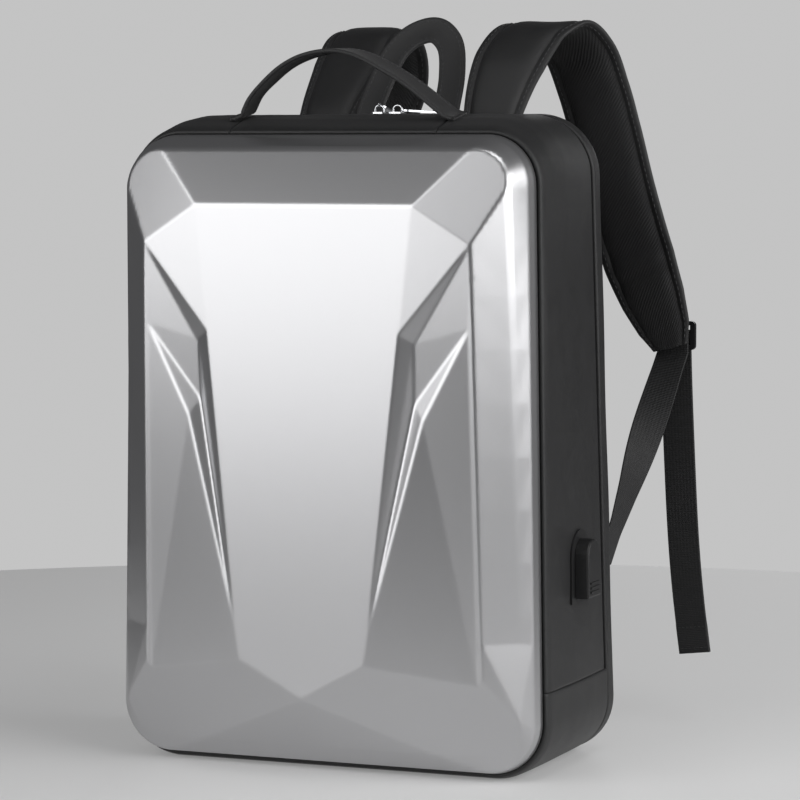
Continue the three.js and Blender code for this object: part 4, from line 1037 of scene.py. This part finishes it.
def make_tab(side, label):
    """The sewn tongue that holds the webbing's end."""
    low, high = TAB_HEIGHT - TAB_HALF, TAB_HEIGHT + TAB_HALF
    tip = back_y(high) + GAP + TAB_SPAN
    corners = np.array([[back_y(low) - 1, low], [back_y(high) - 1, high],
                        [tip, high - TAB_TIP], [tip, high]])
    count = 15
    u, v, face = between_corners(count, count, *corners)
    edge = np.minimum(np.minimum(u, 1 - u), np.minimum(v, 1 - v))[..., 0]
    swell = TAB_SWELL[0] + TAB_SWELL[1] * ease(edge / 0.12)
    points, faces, uvs = [], [], []
    for sign in (1, -1):
        half = np.stack([side * TAB_X + sign * swell, face[..., 0], face[..., 1]], -1)
        turned, uv = outward(half, *quads(half), inside=(side * TAB_X, 90, TAB_HEIGHT))
        faces.append(turned + len(points) * count ** 2)
        points.append(half.reshape(-1, 3))
        uvs.append(uv)
    points = join(points)
    rim = grid_rim(count, count)
    wall = turned_out(points, ribbon(rim, rim + count ** 2), points.mean(0))
    uv = corner_uv(*uvs, points[wall][..., [1, 2]])
    faces = join(faces + [wall])
    piece = add_piece(f"anchor_tab_{label}_sewn", points, faces, ["strip"], uv)
    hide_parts(f"anchor_tab_{label}")


def dress(node, look, width=0.3):
    """A CAD piece that keeps its shape, with its material and slightly rounded edges."""
    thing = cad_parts[node]
    thing.data.materials.clear()
    thing.data.materials.append(LOOKS[look])
    thing.data.shade_smooth()
    if width == 0:
        thing.data.set_sharp_from_angle(angle=math.radians(40))
        return
    bevel = thing.modifiers.new("soft_edges", "BEVEL")
    bevel.width = width * MM
    bevel.segments = 2
    bevel.limit_method = "ANGLE"
    bevel.angle_limit = math.radians(35)
    weighted = thing.modifiers.new("even_shading", "WEIGHTED_NORMAL")
    weighted.keep_sharp = True


def make_hard_parts():
    dress("shell_trim", "rubber")
    for side in ("left", "right"):
        dress(f"buckle_{side}", "plastic", 0.5)
        dress(f"slider_{side}", "chrome", 0)
        dress(f"pull_{side}", "chrome", 0)
    dress("port_patch", "rubber", 0.3)
    dress("port_cover", "rubber", 0.5)


def make_floor():
    """A paper disc with painted light and painted shade: its colour and its glow are pale under and
    behind the bag, and darker in front and beside it.
    """
    mesh = bpy.data.meshes.new("floor")
    radius, count = 1.15, 128
    turns = [2 * math.pi * i / count for i in range(count)]
    ring = [(radius * math.cos(a), radius * math.sin(a), 0) for a in turns]
    mesh.from_pydata(ring, [], [range(count)])
    paper = bpy.data.materials.new("floor_painted_glow_and_shade")
    paper.use_nodes = True
    tree = paper.node_tree
    surface = tree.nodes["Principled BSDF"].inputs
    surface["Roughness"].default_value = 0.7
    surface["Emission Color"].default_value = (1, 1, 1, 1)
    place = tree.nodes.new("ShaderNodeTexCoord")
    turned = add_node(tree, "ShaderNodeMapping", {
        "Vector": place.outputs["Object"], "Location": (0, -0.8, 0),
        "Rotation": (0, 0, math.radians(-CAMERA_TURN))})
    oval = add_node(tree, "ShaderNodeVectorMath", {0: turned.outputs[0], 1: (2, 1, 0)},
                    operation="MULTIPLY")
    far = add_node(tree, "ShaderNodeVectorMath", {0: oval.outputs[0]}, operation="LENGTH")
    # Painted light and painted shade: the floor glows, brightest under and behind the bag, and its
    # colour and glow fade darker in front and beside it.
    for socket, pale, dark in (("Base Color", 0.5, 0.24), ("Emission Strength", 0.19, 0.1)):
        fade = add_node(tree, "ShaderNodeMapRange", {
            "Value": far.outputs["Value"], "From Min": 1.0, "From Max": 1.9,
            "To Min": pale, "To Max": dark}, interpolation_type="SMOOTHSTEP")
        tree.links.new(fade.outputs[0], surface[socket])
    mesh.materials.append(paper)
    floor_object = bpy.data.objects.new("floor", mesh)
    bpy.context.collection.objects.link(floor_object)


def make_lights():
    """Softboxes round the bag, and a grey background that lights it only dimly."""
    target = Vector((0, 0, 0.25))
    # Columns: name, azimuth from the front, elevation, distance, width, height, power.
    for name, azimuth, elevation, distance, width, height, power in (
        ("front_left", -28, 17.5, 2.0, 1.8, 1.6, 22),
        ("right", 82, 17.5, 1.7, 2.1, 1.1, 27),
        ("right_high", 62, 60, 1.8, 0.9, 0.6, 5),
        ("above_front", 4, 34, 2.4, 1.0, 0.6, 2.6),
        ("behind", 186, 10, 2.6, 1.3, 0.7, 9),
    ):
        data = bpy.data.lights.new(name, "AREA")
        data.shape = "RECTANGLE"
        data.size = width
        data.size_y = height
        data.energy = power
        light = bpy.data.objects.new(name, data)
        bpy.context.collection.objects.link(light)
        light.visible_camera = False
        turn, rise = math.radians(azimuth), math.radians(elevation)
        way = Vector((math.sin(turn) * math.cos(rise), -math.cos(turn) * math.cos(rise),
                      math.sin(rise)))
        light.location = target + distance * way
        light.rotation_euler = (target - light.location).to_track_quat("-Z", "Y").to_euler()

    world = bpy.data.worlds.new("studio")
    bpy.context.scene.world = world
    world.use_nodes = True
    tree = world.node_tree
    dim = tree.nodes["Background"]
    dim.inputs["Color"].default_value = (0.06, 0.06, 0.062, 1)
    seen = add_node(tree, "ShaderNodeBackground", {"Color": (0.55, 0.55, 0.55, 1)})
    path = tree.nodes.new("ShaderNodeLightPath")
    mix = add_node(tree, "ShaderNodeMixShader", {
        0: path.outputs["Is Camera Ray"], 1: dim.outputs[0], 2: seen.outputs[0]})
    tree.links.new(mix.outputs[0], tree.nodes["World Output"].inputs["Surface"])


def make_camera():
    lens = bpy.data.cameras.new("camera")
    lens.lens = 153
    lens.sensor_width = 36
    camera = bpy.data.objects.new("camera", lens)
    bpy.context.collection.objects.link(camera)
    camera.location = CAMERA_PLACE
    camera.rotation_euler = (math.radians(90 - CAMERA_PITCH), 0, math.radians(CAMERA_TURN))
    bpy.context.scene.camera = camera
    bpy.context.scene.view_settings.view_transform = "Standard"


make_floor()
make_lights()
make_camera()
make_shell()
make_body()
make_band()
make_zip()
make_back()
make_straps()
make_handle()
make_grab_loop()
make_webbing()
make_hard_parts()
